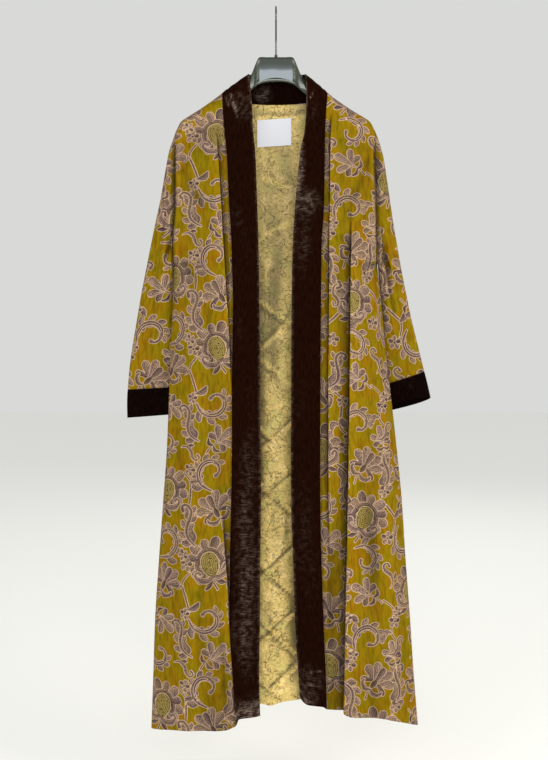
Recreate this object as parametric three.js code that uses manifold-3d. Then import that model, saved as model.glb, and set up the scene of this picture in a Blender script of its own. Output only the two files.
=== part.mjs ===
import * as THREE from 'three';
import { mergeVertices } from 'three/addons/utils/BufferGeometryUtils.js';
import Module from 'manifold-3d';

// A long open-fronted kimono jacket on a wide-shouldered hanger, in millimetres.
// +Z is up, the front faces -Y and +X is on the right of the front view. The origin is the inside
// of the hook's crook, where it bears on a rail, so heights are given as drops below that point.

// Walls and seams
const velvetWall = 1.6;
const bandWall = 2.6;
const cuffWall = 2.4;
const labelWall = 0.8;
const seamGap = 0.3;
const leastSlant = 0.5; // limits how much longer the way through a slanting seam's wall may be
const weldDistance = 0.001;

// Shoulders, armholes and neck
const underarmDrop = 512;
const neckDrop = 170; // where the front bands cross the shoulder ridge
const shoulderTipX = { left: -198, right: 196 };
const shoulderRoll = 21; // drop in which the cloth turns from the ridge to the front or the back
const armholeDepth = 28; // half of the armhole's front-to-back size
const armholeTop = 20; // the same at the height of the neck
const armholeWidest = 340; // drop below which the armhole narrows to the underarm
const armholeSquareness = 2.6;
const neckHalfWidth = 105;
const neckCentreX = -2;
const neckBack = 24; // how far behind the ridge the back neck seam lies
const neckDip = 20; // how far the back neck seam lies below the ridge
const neckEdgeHalfWidth = 56;
const neckEdgeCentreX = 2;
const neckEdgeBack = 21;
const neckEdgeDrop = { ridge: 133, centre: 129 };
const neckRoundness = 0.8;

// Side folds of the body
const frontFlat = 0.75; // share of a front from the side seam in which it rounds to its full depth
const backFlat = 0.7;
const sideSquareness = 1.6;
const foldFadeAtSide = 0.15;

// Front bands
const bandLift = 38; // how much higher the free edge stands than the seam where it crosses the ridge
const bandLiftLength = 135;
const bandHemRise = { left: 6, right: 10 };
const bandHemRiseLength = 120;

// Sleeves
const sleeveRoundness = 2.2;
const cuffLean = { left: 3, right: 16 }; // how much lower the back of a cuff's rim hangs than its front

// Label
const label = { left: -38, right: 31, topLeft: 221, topRight: 216, height: 54, gap: 0.4 };

// Hanger
const plate = { half: 6, squareness: 6, armSquareness: 2, end: 43, blend: 13, ringPoints: 16 };
const panel = { half: 33, top: 104, bottom: 149, arch: 8, thickness: 1.2, archSteps: 10 };
const hook = {
  wire: 1.8, crook: 18, entry: -35, tip: 200, stemTop: 60, stemBottom: 112, socket: 114,
  bendSteps: 11, lengthSteps: 38, sides: 10,
};
const ball = { radius: 3.4, bore: 2.1, half: 2.55, arcSteps: 7, sides: 14 };

// A table has named columns and a row for each section. The first column is the place.
function table(columns, rows) {
  return { columns, rows };
}

// Body seen from the front: side seams (the armhole seam above the underarm) and band seams
const outline = table(
  ['drop', 'leftSide', 'leftSeam', 'rightSeam', 'rightSide'],
  [
    [170, -198, -107, 103, 196],
    [200, -198, -106, 100, 196],
    [250, -198, -102, 97, 196],
    [300, -200, -97, 96, 195],
    [400, -200, -92, 94, 198],
    [460, -205, -88, 90, 200],
    [512, -205, -86.5, 88.5, 202],
    [580, -206, -84.5, 88, 209],
    [690, -210, -86, 87, 219],
    [780, -213, -86.5, 86.5, 229],
    [880, -217, -86.5, 86.5, 240],
    [980, -224, -88, 86.5, 250],
    [1090, -232, -90.5, 89, 257],
    [1210, -240, -90.5, 93, 266],
    [1330, -244, -83, 98, 274],
    [1440, -248, -76, 101, 283],
  ],
);

// Free edges of the front bands
const bandEdge = table(
  ['drop', 'left', 'right'],
  [
    [132, -54, 58],
    [190, -48, 60],
    [250, -45, 56],
    [290, -41, 48],
    [390, -37, 38],
    [510, -33.5, 31.5],
    [780, -31, 29.5],
    [980, -29.5, 29.5],
    [1090, -31, 33.5],
    [1210, -31.5, 37],
    [1330, -33, 44],
    [1440, -29.5, 50],
  ],
);

// Depths at the middle of the fronts and of the back, at the bands' free edges, and of the side seams
const depths = table(
  ['drop', 'front', 'back', 'edge', 'turn'],
  [
    [170, 20, 21, 19, 0],
    [244, 25, 26, 25, 0],
    [300, 31, 29, 31, 0],
    [380, 38, 32, 37, 0],
    [512, 43, 34, 41, 0],
    [600, 45, 35, 42, -6],
    [760, 46, 36, 42, -12],
    [1000, 46, 36, 41, -12],
    [1200, 48, 37, 38, -12],
    [1440, 52, 38, 35, -12],
  ],
);

// Shoulder ridge, from the neck (0) to the armhole (1)
const ridge = table(
  ['across', 'drop'],
  [[0, 170], [0.2, 184], [0.5, 203], [0.8, 220], [0.92, 229], [1, 244]],
);

// Hems, from the band seam (0) to the side seam (1), and of the back from the left side to the right
const frontHem = table(
  ['across', 'left', 'right'],
  [[0, 1407, 1388], [0.2, 1413, 1395], [0.5, 1424, 1409], [1, 1434, 1422]],
);
const backHem = table(
  ['across', 'drop'],
  [[0, 1434], [0.15, 1424], [0.33, 1409], [0.5, 1397], [0.62, 1395], [0.8, 1408], [1, 1422]],
);

// Folds of the fronts and the back. A fold with a facing is a pleat's edge: the cloth rises within
// steep of its line and falls back over reach on the facing side. The others are soft waves.
const foldColumns = ['panel', 'from', 'to', 'fadeIn', 'fadeOut', 'xFrom', 'xMiddle', 'xTo',
  'rise', 'steep', 'reach', 'facing'];
const folds = [
  ['left', 240, 800, 90, 160, -122, -105, -88, 11, 9, 48, -1],
  ['left', 960, 1480, 170, 1, -112, -93, -70, 16, 11, 60, -1],
  ['left', 560, 1480, 300, 1, -150, -160, -172, 6, 0, 22, 0],
  ['right', 205, 1130, 60, 220, 113, 107, 108, 9, 8, 30, 1],
  ['right', 380, 1480, 160, 1, 152, 145, 134, 15, 9, 58, 1],
  ['right', 660, 1480, 320, 1, 206, 219, 236, 6, 0, 20, 0],
  ['back', 480, 1480, 320, 1, -118, -130, -146, 8, 0, 26, 0],
  ['back', 420, 1480, 380, 1, -34, -42, -60, 6, 0, 22, 0],
  ['back', 560, 1480, 300, 1, 44, 52, 66, 8, 0, 24, 0],
  ['back', 520, 1480, 320, 1, 128, 146, 168, 7, 0, 28, 0],
].map((row) => Object.fromEntries(foldColumns.map((name, i) => [name, row[i]])));

// Sections of the sleeves from the armhole down: the outer line, the inner line (which passes
// behind the body's side), how far back each lies, and half of the depth
const sleeveColumns = ['outerX', 'outerDrop', 'innerX', 'innerDrop', 'outerY', 'innerY', 'half'];
const sleeves = {
  left: table(sleeveColumns, [
    [-206, 263, -211, 518, 0, 1, 28],
    [-214, 287, -214, 530, 1, 4, 28],
    [-221, 325, -213.5, 546, 1, 8, 28],
    [-230, 375, -211, 566, 2, 12, 28],
    [-243, 437, -207, 591, 2, 15, 27],
    [-256, 503, -203, 620, 3, 17.5, 26],
    [-270, 572, -198, 651, 4, 19.5, 24],
    [-282, 640, -193, 685, 5, 21, 21.5],
    [-291.5, 702, -187.5, 721, 6, 22, 19],
    [-297, 763, -182, 757, 6, 22, 17],
    [-298, 792, -183, 785, 6, 22, 17],
    [-297.5, 820, -184, 813, 6, 22, 17],
  ]),
  right: table(sleeveColumns, [
    [205, 264, 209, 517, 0, 1, 28],
    [214, 295, 212.5, 528, 1, 4, 28],
    [221, 338, 213.5, 543, 1, 8, 28],
    [229, 390, 213, 562, 2, 12, 28],
    [238, 448, 212, 587, 2, 15, 27],
    [248, 508, 210, 616, 3, 17.5, 26],
    [260, 567, 207, 648, 4, 19.5, 24],
    [272, 624, 203, 684, 5, 21, 21.5],
    [285, 677, 199, 722, 6, 22, 19],
    [297, 727, 196, 761, 6, 22, 17],
    [303.5, 754, 199, 785, 6, 22, 17],
    [309.5, 780, 202, 809, 6, 22, 17],
  ]),
};
const sleeveRings = 10; // the rings after these are the cuff's
const cuffRings = 2;

// Long soft folds of a sleeve: place from the outer line (0) to the inner line (1) at both ends of
// the fold, where it starts and ends in rings, its rise and its half width as a share of the section
const sleeveFoldColumns = ['sleeve', 'face', 'placeFrom', 'placeTo', 'from', 'to', 'rise', 'width'];
const sleeveFolds = [
  ['left', 'front', 0.78, 0.6, 0, 5, -7, 0.1],
  ['left', 'front', 0.3, 0.36, 2, 9, -4, 0.12],
  ['left', 'back', 0.45, 0.4, 1, 8, -5, 0.14],
  ['right', 'front', 0.75, 0.5, 0, 8, -8, 0.1],
  ['right', 'front', 0.3, 0.25, 3, 10, -4, 0.1],
  ['right', 'back', 0.5, 0.45, 1, 8, -5, 0.14],
].map((row) => Object.fromEntries(sleeveFoldColumns.map((name, i) => [name, row[i]])));

// Hanger from its middle to an arm's end: top and bottom edges and half of the thickness
const hangerSections = table(
  ['x', 'top', 'bottom', 'half'],
  [
    [0, 99, 148, 6],
    [18, 99, 149, 6],
    [34, 99.5, 153.5, 6],
    [38, 106, 156, 6],
    [43, 118, 160, 6.5],
    [49, 132.5, 165, 7],
    [56, 139.5, 171, 7],
    [80, 158.5, 187, 7],
    [103, 179, 203, 8],
    [126, 192.5, 215, 11],
    [154, 211, 232, 14],
    [170, 219.5, 238, 15],
    [180, 227, 243, 13],
    [184, 231, 241, 7],
  ],
);

// Where the rows and columns of the panels lie: down the body in falls (0 at the top edge, 1 at the
// underarm, 2 at the hem), across a front from its band seam, and across a shoulder of the back
const upperFalls = [0, 0.012, 0.045, 0.1, 0.19, 0.31, 0.44, 0.57, 0.7, 0.83, 0.93, 1];
const lowerFalls = [0.03, 0.08, 0.15, 0.23, 0.31, 0.39, 0.47, 0.55, 0.63, 0.71, 0.79, 0.87, 0.94, 1];
const falls = [...upperFalls, ...lowerFalls.map((part) => 1 + part)];
const frontColumns = [
  0, 0.05, 0.1, 0.16, 0.23, 0.3, 0.38, 0.46, 0.55, 0.64, 0.73, 0.81, 0.88, 0.94, 0.98, 1,
];
const shoulderColumns = [0, 0.045, 0.13, 0.3, 0.52, 0.76];
const neckSteps = 10;
const bandSteps = 3;

const { lerp, clamp } = THREE.MathUtils;
const smooth = (part) => THREE.MathUtils.smoothstep(part, 0, 1);

// Value of a column at a place, on a smooth curve through the rows
function at(source, column, place) {
  const { columns, rows } = source;
  const k = columns.indexOf(column);
  const last = rows.length - 1;
  if (place <= rows[0][0]) return rows[0][k];
  if (place >= rows[last][0]) return rows[last][k];
  const slope = (j) => {
    const before = rows[Math.max(j - 1, 0)];
    const after = rows[Math.min(j + 1, last)];
    return (after[k] - before[k]) / (after[0] - before[0]);
  };
  const i = rows.findIndex((row) => row[0] > place) - 1;
  const span = rows[i + 1][0] - rows[i][0];
  const f = (place - rows[i][0]) / span;
  const bend = f * f * (3 - 2 * f);
  const leave = f * (1 - f) * (1 - f) * span * slope(i);
  const arrive = f * f * (f - 1) * span * slope(i + 1);
  return lerp(rows[i][k], rows[i + 1][k], bend) + leave + arrive;
}

// How far a fold or the folds of a panel push the cloth out at a place
function foldRise(panelName, x, drop) {
  let total = 0;
  for (const fold of folds) {
    if (fold.panel !== panelName || drop < fold.from || drop > fold.to) continue;
    const part = (drop - fold.from) / (fold.to - fold.from);
    const bow = 2 * fold.xMiddle - (fold.xFrom + fold.xTo) / 2;
    const line = (1 - part) * (1 - part) * fold.xFrom + 2 * part * (1 - part) * bow + part * part * fold.xTo;
    const fade = smooth((drop - fold.from) / fold.fadeIn) * smooth((fold.to - drop) / fold.fadeOut);
    const away = (x - line) * (fold.facing || 1);
    const pleat = smooth(1 + away / fold.steep) * Math.exp(-Math.max(away, 0) / fold.reach);
    const wave = Math.exp(-((away / fold.reach) ** 2));
    total += fold.rise * fade * (fold.facing ? pleat : wave);
  }
  return total;
}

// Share of the full depth at a distance from a side fold, which is a rounded edge
function sideProfile(part) {
  const rest = 1 - clamp(part, 0, 1);
  return (1 - rest ** sideSquareness) ** (1 / sideSquareness);
}

// Share of the depth reached at a distance below the shoulder ridge
function roll(below) {
  const rest = 1 - Math.min(below / shoulderRoll, 1);
  return Math.sqrt(1 - rest * rest);
}

// Half depth of the armhole seam, which closes at the underarm
function armholeHalf(drop) {
  const full = lerp(armholeTop, armholeDepth, smooth((drop - neckDrop) / (armholeWidest - neckDrop)));
  const part = clamp((drop - armholeWidest) / (underarmDrop - armholeWidest), 0, 1);
  return full * (1 - part ** armholeSquareness) ** (1 / armholeSquareness);
}

function fallDrop(top, hem, fall) {
  return fall < 1 ? lerp(top, underarmDrop, fall) : lerp(underarmDrop, hem, fall - 1);
}

// A point whose wall leaves out one axis, so that the cut faces of a seam lie flat across the gap
function seamPoint(point, axis) {
  point.across = axis;
  return point;
}

function frontPoint(side, across, fall) {
  const top = at(ridge, 'drop', across);
  const drop = fallDrop(top, at(frontHem, side, across), fall);
  const x = lerp(at(outline, `${side}Seam`, drop), at(outline, `${side}Side`, drop), across);
  const profile = sideProfile((1 - across) / frontFlat);
  const turned = roll(drop - top);
  const edge = at(depths, 'turn', drop) - armholeHalf(drop) * turned;
  const middle = -at(depths, 'front', drop) * turned;
  const raised = foldRise(side, x, drop) * turned * smooth((1 - across) / foldFadeAtSide);
  const point = new THREE.Vector3(x, lerp(edge, middle, profile) - raised - seamGap / 2, -drop);
  if (fall === 0 || (across === 1 && fall >= 1)) return seamPoint(point, 'y');
  return across === 1 ? seamPoint(point, 'x') : point;
}

function bandPoint(side, across, fall) {
  const seam = frontPoint(side, 0, fall);
  const drop = -seam.z;
  const hem = at(frontHem, side, 0);
  const lift = bandLift * smooth(1 - (drop - neckDrop) / bandLiftLength);
  const rise = bandHemRise[side] * smooth(1 - (hem - drop) / bandHemRiseLength);
  const edgeDrop = drop - lift - rise;
  const edgeY = -at(depths, 'edge', drop) * roll(drop - neckDrop) - seamGap / 2;
  const edge = new THREE.Vector3(at(bandEdge, side, edgeDrop), edgeY, -edgeDrop);
  const point = seam.clone().lerp(edge, across);
  return fall === 0 ? seamPoint(point, 'y') : point;
}

// Places across the back, from its left armhole to its right, with the neck in the middle
function neckX(turn) {
  return neckCentreX + neckHalfWidth * Math.sin(turn * Math.PI / 2);
}

const neckTurns = Array.from({ length: neckSteps + 1 }, (_, i) => -1 + 2 * i / neckSteps);
const backTopX = [
  ...shoulderColumns.map((part) => lerp(shoulderTipX.left, neckX(-1), part)),
  ...neckTurns.map(neckX),
  ...shoulderColumns.map((part) => lerp(shoulderTipX.right, neckX(1), part)).reverse(),
];
const neckFirst = shoulderColumns.length;
const neckLast = neckFirst + neckSteps;

// Height and depth of the back's top edge: the shoulder ridge, or the back neck seam between them
function backTop(x) {
  const turn = (x - neckCentreX) / neckHalfWidth;
  if (Math.abs(turn) >= 1) {
    const neck = neckX(Math.sign(turn));
    const tip = turn < 0 ? shoulderTipX.left : shoulderTipX.right;
    return { drop: at(ridge, 'drop', (x - neck) / (tip - neck)), y: 0 };
  }
  const inwards = Math.sqrt(1 - turn * turn) ** neckRoundness;
  return { drop: neckDrop + neckDip * inwards, y: neckBack * inwards };
}

function backPoint(topX, fall) {
  const across = (topX - shoulderTipX.left) / (shoulderTipX.right - shoulderTipX.left);
  const top = backTop(topX);
  const drop = fallDrop(top.drop, at(backHem, 'drop', across), fall);
  const x = lerp(at(outline, 'leftSide', drop), at(outline, 'rightSide', drop), across);
  const profile = sideProfile(2 * Math.min(across, 1 - across) / backFlat);
  const edge = at(depths, 'turn', drop) + armholeHalf(drop);
  const raised = foldRise('back', x, drop) * smooth(2 * Math.min(across, 1 - across) / foldFadeAtSide);
  const full = lerp(edge, at(depths, 'back', drop), profile) + raised;
  const start = fall < 1 ? top.y : full;
  const y = lerp(start, full, roll(drop - top.drop)) + seamGap / 2;
  const point = new THREE.Vector3(x, y, -drop);
  const atSide = across === 0 || across === 1;
  const onRidge = fall === 0 && Math.abs(topX - neckCentreX) >= neckHalfWidth - 0.001;
  if (onRidge || (atSide && fall >= 1)) return seamPoint(point, 'y');
  return atSide ? seamPoint(point, 'x') : point;
}

// The neck band stands on the back neck seam, and its free edge lies in a narrower round
function neckBandPoint(turn, across) {
  const seam = backPoint(neckX(turn), 0);
  const inwards = Math.max(Math.cos(turn * Math.PI / 2), 0) ** neckRoundness;
  const edge = new THREE.Vector3(
    neckEdgeCentreX + neckEdgeHalfWidth * Math.sin(turn * Math.PI / 2),
    neckEdgeBack * inwards + seamGap / 2,
    -lerp(neckEdgeDrop.ridge, neckEdgeDrop.centre, inwards),
  );
  const point = seam.clone().lerp(edge, across);
  return Math.abs(turn) === 1 ? seamPoint(point, 'y') : point;
}

// Points round a sleeve: from its outer line down the front to the inner line and up the back
function sleeveRing(side, ring) {
  const parts = upperFalls;
  const last = parts.length - 1;
  const round = [
    ...parts.map((part, i) => ({ part, i, face: 'front' })),
    ...parts.slice(1, last).map((part, i) => ({ part, i: i + 1, face: 'back' })).reverse(),
  ];
  const outwards = side === 'left' ? -seamGap : seamGap;
  return round.map(({ part, i, face }) => {
    const front = face === 'front';
    if (ring === 0) {
      const point = front ? frontPoint(side, 1, part) : backPoint(shoulderTipX[side], part);
      if (i === 0 || i === last) point.y = 0;
      point.x += outwards;
      return seamPoint(point, 'x');
    }
    const rows = sleeves[side].rows[ring - 1];
    const row = Object.fromEntries(sleeveColumns.map((name, k) => [name, rows[k]]));
    const shape = (1 - Math.abs(2 * part - 1) ** sleeveRoundness) ** (1 / sleeveRoundness);
    const half = (row.half + sleeveFoldRise(side, face, part, ring)) * shape;
    const y = lerp(row.outerY, row.innerY, part) + (front ? -half : half);
    const cuffShare = ring > sleeveRings ? (ring - sleeveRings) / cuffRings : 0;
    const lean = cuffLean[side] * cuffShare * (front ? -0.5 : 0.5) * shape;
    return new THREE.Vector3(
      lerp(row.outerX, row.innerX, part),
      y,
      -lerp(row.outerDrop, row.innerDrop, part) - lean,
    );
  });
}

function sleeveFoldRise(side, face, part, ring) {
  let total = 0;
  for (const fold of sleeveFolds) {
    if (fold.sleeve !== side || fold.face !== face || ring < fold.from || ring > fold.to) continue;
    const along = (ring - fold.from) / (fold.to - fold.from);
    const place = lerp(fold.placeFrom, fold.placeTo, along);
    total += fold.rise * Math.sin(along * Math.PI) * Math.exp(-(((part - place) / fold.width) ** 2));
  }
  return total;
}

// Unit direction through the cloth at a grid point, and how much longer the way through is where
// an axis is left out of it
function through(grid, r, c, around) {
  const here = grid[r][c];
  const count = grid[r].length;
  const before = around ? grid[r][(c + count - 1) % count] : grid[r][c - 1] ?? here;
  const after = around ? grid[r][(c + 1) % count] : grid[r][c + 1] ?? here;
  const above = grid[r - 1]?.[c] ?? here;
  const below = grid[r + 1]?.[c] ?? here;
  const normal = after.clone().sub(before).cross(below.clone().sub(above)).normalize();
  const way = normal.clone();
  if (here.across) way[here.across] = 0;
  way.normalize();
  return way.multiplyScalar(1 / Math.max(way.dot(normal), leastSlant));
}

// A sewn piece: the part of a grid between two rows and two columns, given its wall on the inside.
// A trimmed edge is drawn in by half of the seam gap.
function clothPiece(grid, { rows, columns, wall, inwards, around = false, trim = [] }) {
  const outer = [];
  const inner = [];
  for (let r = rows[0]; r <= rows[1]; r++) {
    const outerRow = [];
    const innerRow = [];
    for (let c = columns[0]; c <= columns[1]; c++) {
      const point = grid[r][c].clone();
      const drawIn = (next) => point.addScaledVector(next.clone().sub(grid[r][c]).normalize(), seamGap / 2);
      if (trim.includes('top') && r === rows[0]) drawIn(grid[r + 1][c]);
      if (trim.includes('bottom') && r === rows[1]) drawIn(grid[r - 1][c]);
      if (trim.includes('left') && c === columns[0]) drawIn(grid[r][c + 1]);
      if (trim.includes('right') && c === columns[1]) drawIn(grid[r][c - 1]);
      outerRow.push(point);
      innerRow.push(point.clone().addScaledVector(through(grid, r, c, around), wall * inwards));
    }
    outer.push(outerRow);
    inner.push(innerRow);
  }
  return { outer, inner, geometry: closedWall(outer, inner, around) };
}

// Closed body between two faces given as grids of the same size
function closedWall(outer, inner, around) {
  const rowCount = outer.length;
  const columnCount = outer[0].length;
  const positions = [...outer.flat(), ...inner.flat()];
  const half = rowCount * columnCount;
  const index = [];
  const id = (r, c, face) => face * half + r * columnCount + (c % columnCount);
  const quad = (a, b, c, d) => index.push(a, b, c, a, c, d);
  const steps = around ? columnCount : columnCount - 1;
  for (let r = 0; r < rowCount - 1; r++) {
    for (let c = 0; c < steps; c++) {
      const corners = [[r, c], [r, c + 1], [r + 1, c + 1], [r + 1, c]];
      const [p0, p1, p2, p3] = corners.map(([i, j]) => outer[i][j % columnCount]);
      const start = p0.distanceTo(p2) <= p1.distanceTo(p3) ? 0 : 1;
      const turned = [0, 1, 2, 3].map((k) => corners[(k + start) % 4]);
      quad(...turned.map(([i, j]) => id(i, j, 0)));
      quad(...turned.reverse().map(([i, j]) => id(i, j, 1)));
    }
  }
  for (let c = 0; c < steps; c++) {
    quad(id(0, c, 0), id(0, c, 1), id(0, c + 1, 1), id(0, c + 1, 0));
    const r = rowCount - 1;
    quad(id(r, c, 0), id(r, c + 1, 0), id(r, c + 1, 1), id(r, c, 1));
  }
  for (let r = 0; r < rowCount - 1 && !around; r++) {
    const c = columnCount - 1;
    quad(id(r, 0, 0), id(r + 1, 0, 0), id(r + 1, 0, 1), id(r, 0, 1));
    quad(id(r, c, 0), id(r, c, 1), id(r + 1, c, 1), id(r + 1, c, 0));
  }
  return bodyFrom(positions, index);
}

// Body lofted through closed rings, with a flat cap on each end
function loftedBody(rings) {
  const count = rings[0].length;
  const positions = rings.flat();
  const index = [];
  for (let r = 0; r < rings.length - 1; r++) {
    for (let c = 0; c < count; c++) {
      const a = r * count + c;
      const b = r * count + (c + 1) % count;
      index.push(a, b, b + count, a, b + count, a + count);
    }
  }
  for (const [r, flip] of [[0, true], [rings.length - 1, false]]) {
    const centre = positions.length;
    const middle = new THREE.Vector3();
    rings[r].forEach((point) => middle.addScaledVector(point, 1 / count));
    positions.push(middle);
    for (let c = 0; c < count; c++) {
      const a = r * count + c;
      const b = r * count + (c + 1) % count;
      index.push(...(flip ? [b, a, centre] : [a, b, centre]));
    }
  }
  return bodyFrom(positions, index);
}

// Indexed geometry with its faces turned outwards
function bodyFrom(positions, index) {
  let volume = 0;
  for (let i = 0; i < index.length; i += 3) {
    const [a, b, c] = [positions[index[i]], positions[index[i + 1]], positions[index[i + 2]]];
    volume += a.dot(b.clone().cross(c));
  }
  if (volume < 0) index.reverse();
  const geometry = new THREE.BufferGeometry().setFromPoints(positions);
  geometry.setIndex(index);
  geometry.computeVertexNormals();
  return geometry;
}

const wasm = await Module();
wasm.setup();

function toSolid(geometry) {
  const bare = geometry.clone();
  bare.deleteAttribute('normal');
  bare.deleteAttribute('uv');
  const merged = mergeVertices(bare, weldDistance);
  return new wasm.Manifold(new wasm.Mesh({
    numProp: 3,
    vertProperties: new Float32Array(merged.attributes.position.array),
    triVerts: new Uint32Array(merged.index.array),
  }));
}

function fromSolid(solid) {
  const mesh = solid.getMesh();
  const geometry = new THREE.BufferGeometry();
  geometry.setAttribute('position', new THREE.BufferAttribute(mesh.vertProperties, 3));
  geometry.setIndex(new THREE.BufferAttribute(mesh.triVerts, 1));
  geometry.computeVertexNormals();
  return geometry;
}

const finishes = {
  printedVelvet: { color: '#9a8420', roughness: 0.75, metalness: 0 },
  plushBand: { color: '#2a1a18', roughness: 0.6, metalness: 0 },
  satinLabel: { color: '#e8e6ea', roughness: 0.5, metalness: 0 },
  smokedPlastic: { color: '#5d6b60', roughness: 0.25, metalness: 0 },
  frostedPanel: { color: '#c9cdd2', roughness: 0.45, metalness: 0 },
  platedSteel: { color: '#a9abad', roughness: 0.3, metalness: 1 },
};

const jacket = new THREE.Group();

function addPiece(name, geometry, finish) {
  const mesh = new THREE.Mesh(geometry, new THREE.MeshStandardMaterial(finishes[finish]));
  mesh.name = name;
  jacket.add(mesh);
}

// A front and its band share one grid, so the band's seam follows the front's folds
function addFront(side) {
  const bandParts = Array.from({ length: bandSteps }, (_, i) => (i + 1) / bandSteps);
  const grid = falls.map((fall) => {
    const front = frontColumns.map((across) => frontPoint(side, across, fall)).reverse();
    const band = bandParts.map((across) => bandPoint(side, across, fall));
    const row = [...front, ...band];
    return side === 'left' ? row : row.reverse();
  });
  const rows = [0, falls.length - 1];
  const lastColumn = frontColumns.length - 1 + bandSteps;
  const left = side === 'left';
  const seam = left ? frontColumns.length - 1 : bandSteps;
  const frontRange = left ? [0, seam] : [seam, lastColumn];
  const bandRange = left ? [seam, lastColumn] : [0, seam];
  const front = clothPiece(grid, {
    rows, columns: frontRange, wall: velvetWall, inwards: 1, trim: [left ? 'right' : 'left'],
  });
  const band = clothPiece(grid, {
    rows, columns: bandRange, wall: bandWall, inwards: 1, trim: [left ? 'left' : 'right'],
  });
  addPiece(`front_${side}`, front.geometry, 'printedVelvet');
  addPiece(`band_${side}`, band.geometry, 'plushBand');
}

// The back and the neck band share one grid: the band's rows stand above the neck columns
function addBack() {
  const backRows = falls.map((fall) => backTopX.map((x) => backPoint(x, fall)));
  const neckRows = Array.from({ length: bandSteps }, (_, i) => {
    const across = 1 - i / bandSteps;
    return backTopX.map((x, c) => {
      const inNeck = c >= neckFirst && c <= neckLast;
      return inNeck ? neckBandPoint(neckTurns[c - neckFirst], across) : undefined;
    });
  });
  const grid = [...neckRows, ...backRows];
  const seam = bandSteps;
  const back = clothPiece(grid, {
    rows: [seam, grid.length - 1], columns: [0, backTopX.length - 1], wall: velvetWall, inwards: -1,
  });
  const neck = clothPiece(grid, {
    rows: [0, seam], columns: [neckFirst, neckLast], wall: bandWall, inwards: -1, trim: ['bottom'],
  });
  addPiece('back', back.geometry, 'printedVelvet');
  addPiece('band_neck', neck.geometry, 'plushBand');
  addLabel(back.inner);
}

// The label lies on the back's inner face, so its points are found on that face and moved out
function addLabel(face) {
  const pick = (row, x) => {
    const c = Math.max(row.findIndex((point) => point.x > x) - 1, 0);
    return row[c].clone().lerp(row[c + 1], (x - row[c].x) / (row[c + 1].x - row[c].x));
  };
  const onFace = (x, drop) => {
    const line = face.map((row) => pick(row, x));
    const r = line.findIndex((point) => -point.z > drop) - 1;
    return line[r].clone().lerp(line[r + 1], (drop + line[r].z) / (line[r].z - line[r + 1].z));
  };
  const columns = 6;
  const rowCount = 4;
  const faceAt = (away) => Array.from({ length: rowCount + 1 }, (_, i) => (
    Array.from({ length: columns + 1 }, (_unused, j) => {
      const across = j / columns;
      const top = lerp(label.topLeft, label.topRight, across);
      const point = onFace(lerp(label.left, label.right, across), top + label.height * i / rowCount);
      point.y -= away;
      return point;
    })
  ));
  addPiece('label', closedWall(faceAt(label.gap + labelWall), faceAt(label.gap), false), 'satinLabel');
}

// A sleeve and its cuff share one grid of rings
function addSleeve(side) {
  const lastRing = sleeves[side].rows.length;
  const grid = Array.from({ length: lastRing + 1 }, (_, ring) => sleeveRing(side, ring));
  const columns = [0, grid[0].length - 1];
  const inwards = side === 'left' ? 1 : -1;
  const sleeve = clothPiece(grid, {
    rows: [0, sleeveRings], columns, wall: velvetWall, inwards, around: true, trim: ['bottom'],
  });
  const cuff = clothPiece(grid, {
    rows: [sleeveRings, lastRing], columns, wall: cuffWall, inwards, around: true, trim: ['top'],
  });
  addPiece(`sleeve_${side}`, sleeve.geometry, 'printedVelvet');
  addPiece(`cuff_${side}`, cuff.geometry, 'plushBand');
}

// The hanger's moulded body: a plate in the middle that runs out into two rounded arms
function addHanger() {
  const stations = hangerSections.rows.map((row) => row[0]);
  const places = [...stations.slice(1).map((x) => -x).reverse(), ...stations];
  const rings = places.map((x) => {
    const [, top, bottom, half] = hangerSections.rows[stations.indexOf(Math.abs(x))];
    const onArm = smooth((Math.abs(x) - plate.end) / plate.blend);
    const power = 2 / lerp(plate.squareness, plate.armSquareness, onArm);
    return Array.from({ length: plate.ringPoints }, (_, i) => {
      const angle = (i / plate.ringPoints) * 2 * Math.PI;
      const across = Math.sign(Math.cos(angle)) * Math.abs(Math.cos(angle)) ** power;
      const up = Math.sign(Math.sin(angle)) * Math.abs(Math.sin(angle)) ** power;
      return new THREE.Vector3(x, half * across, -(top + bottom) / 2 + (bottom - top) / 2 * up);
    });
  });
  const socketLength = hook.socket - hangerSections.rows[0][1] + 1;
  const bore = hook.wire + seamGap;
  const socket = new THREE.CylinderGeometry(bore, bore, socketLength, plate.ringPoints);
  socket.rotateX(Math.PI / 2);
  socket.translate(0, 0, -hook.socket + socketLength / 2);
  addPiece('hanger_body', fromSolid(toSolid(loftedBody(rings)).subtract(toSolid(socket))), 'smokedPlastic');
  addPanel();
  addHook();
  addBall();
}

// Thin panel on the front of the plate, with an arched lower edge
function addPanel() {
  const shape = new THREE.Shape();
  shape.moveTo(-panel.half, -panel.top);
  shape.lineTo(-panel.half, -panel.bottom);
  shape.quadraticCurveTo(0, -panel.bottom + 2 * panel.arch, panel.half, -panel.bottom);
  shape.lineTo(panel.half, -panel.top);
  shape.closePath();
  const geometry = new THREE.ExtrudeGeometry(shape, {
    depth: panel.thickness, bevelEnabled: false, curveSegments: panel.archSteps,
  });
  geometry.rotateX(Math.PI / 2);
  geometry.translate(0, -plate.half - seamGap, 0);
  addPiece('hanger_panel', geometry, 'frostedPanel');
}

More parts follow.
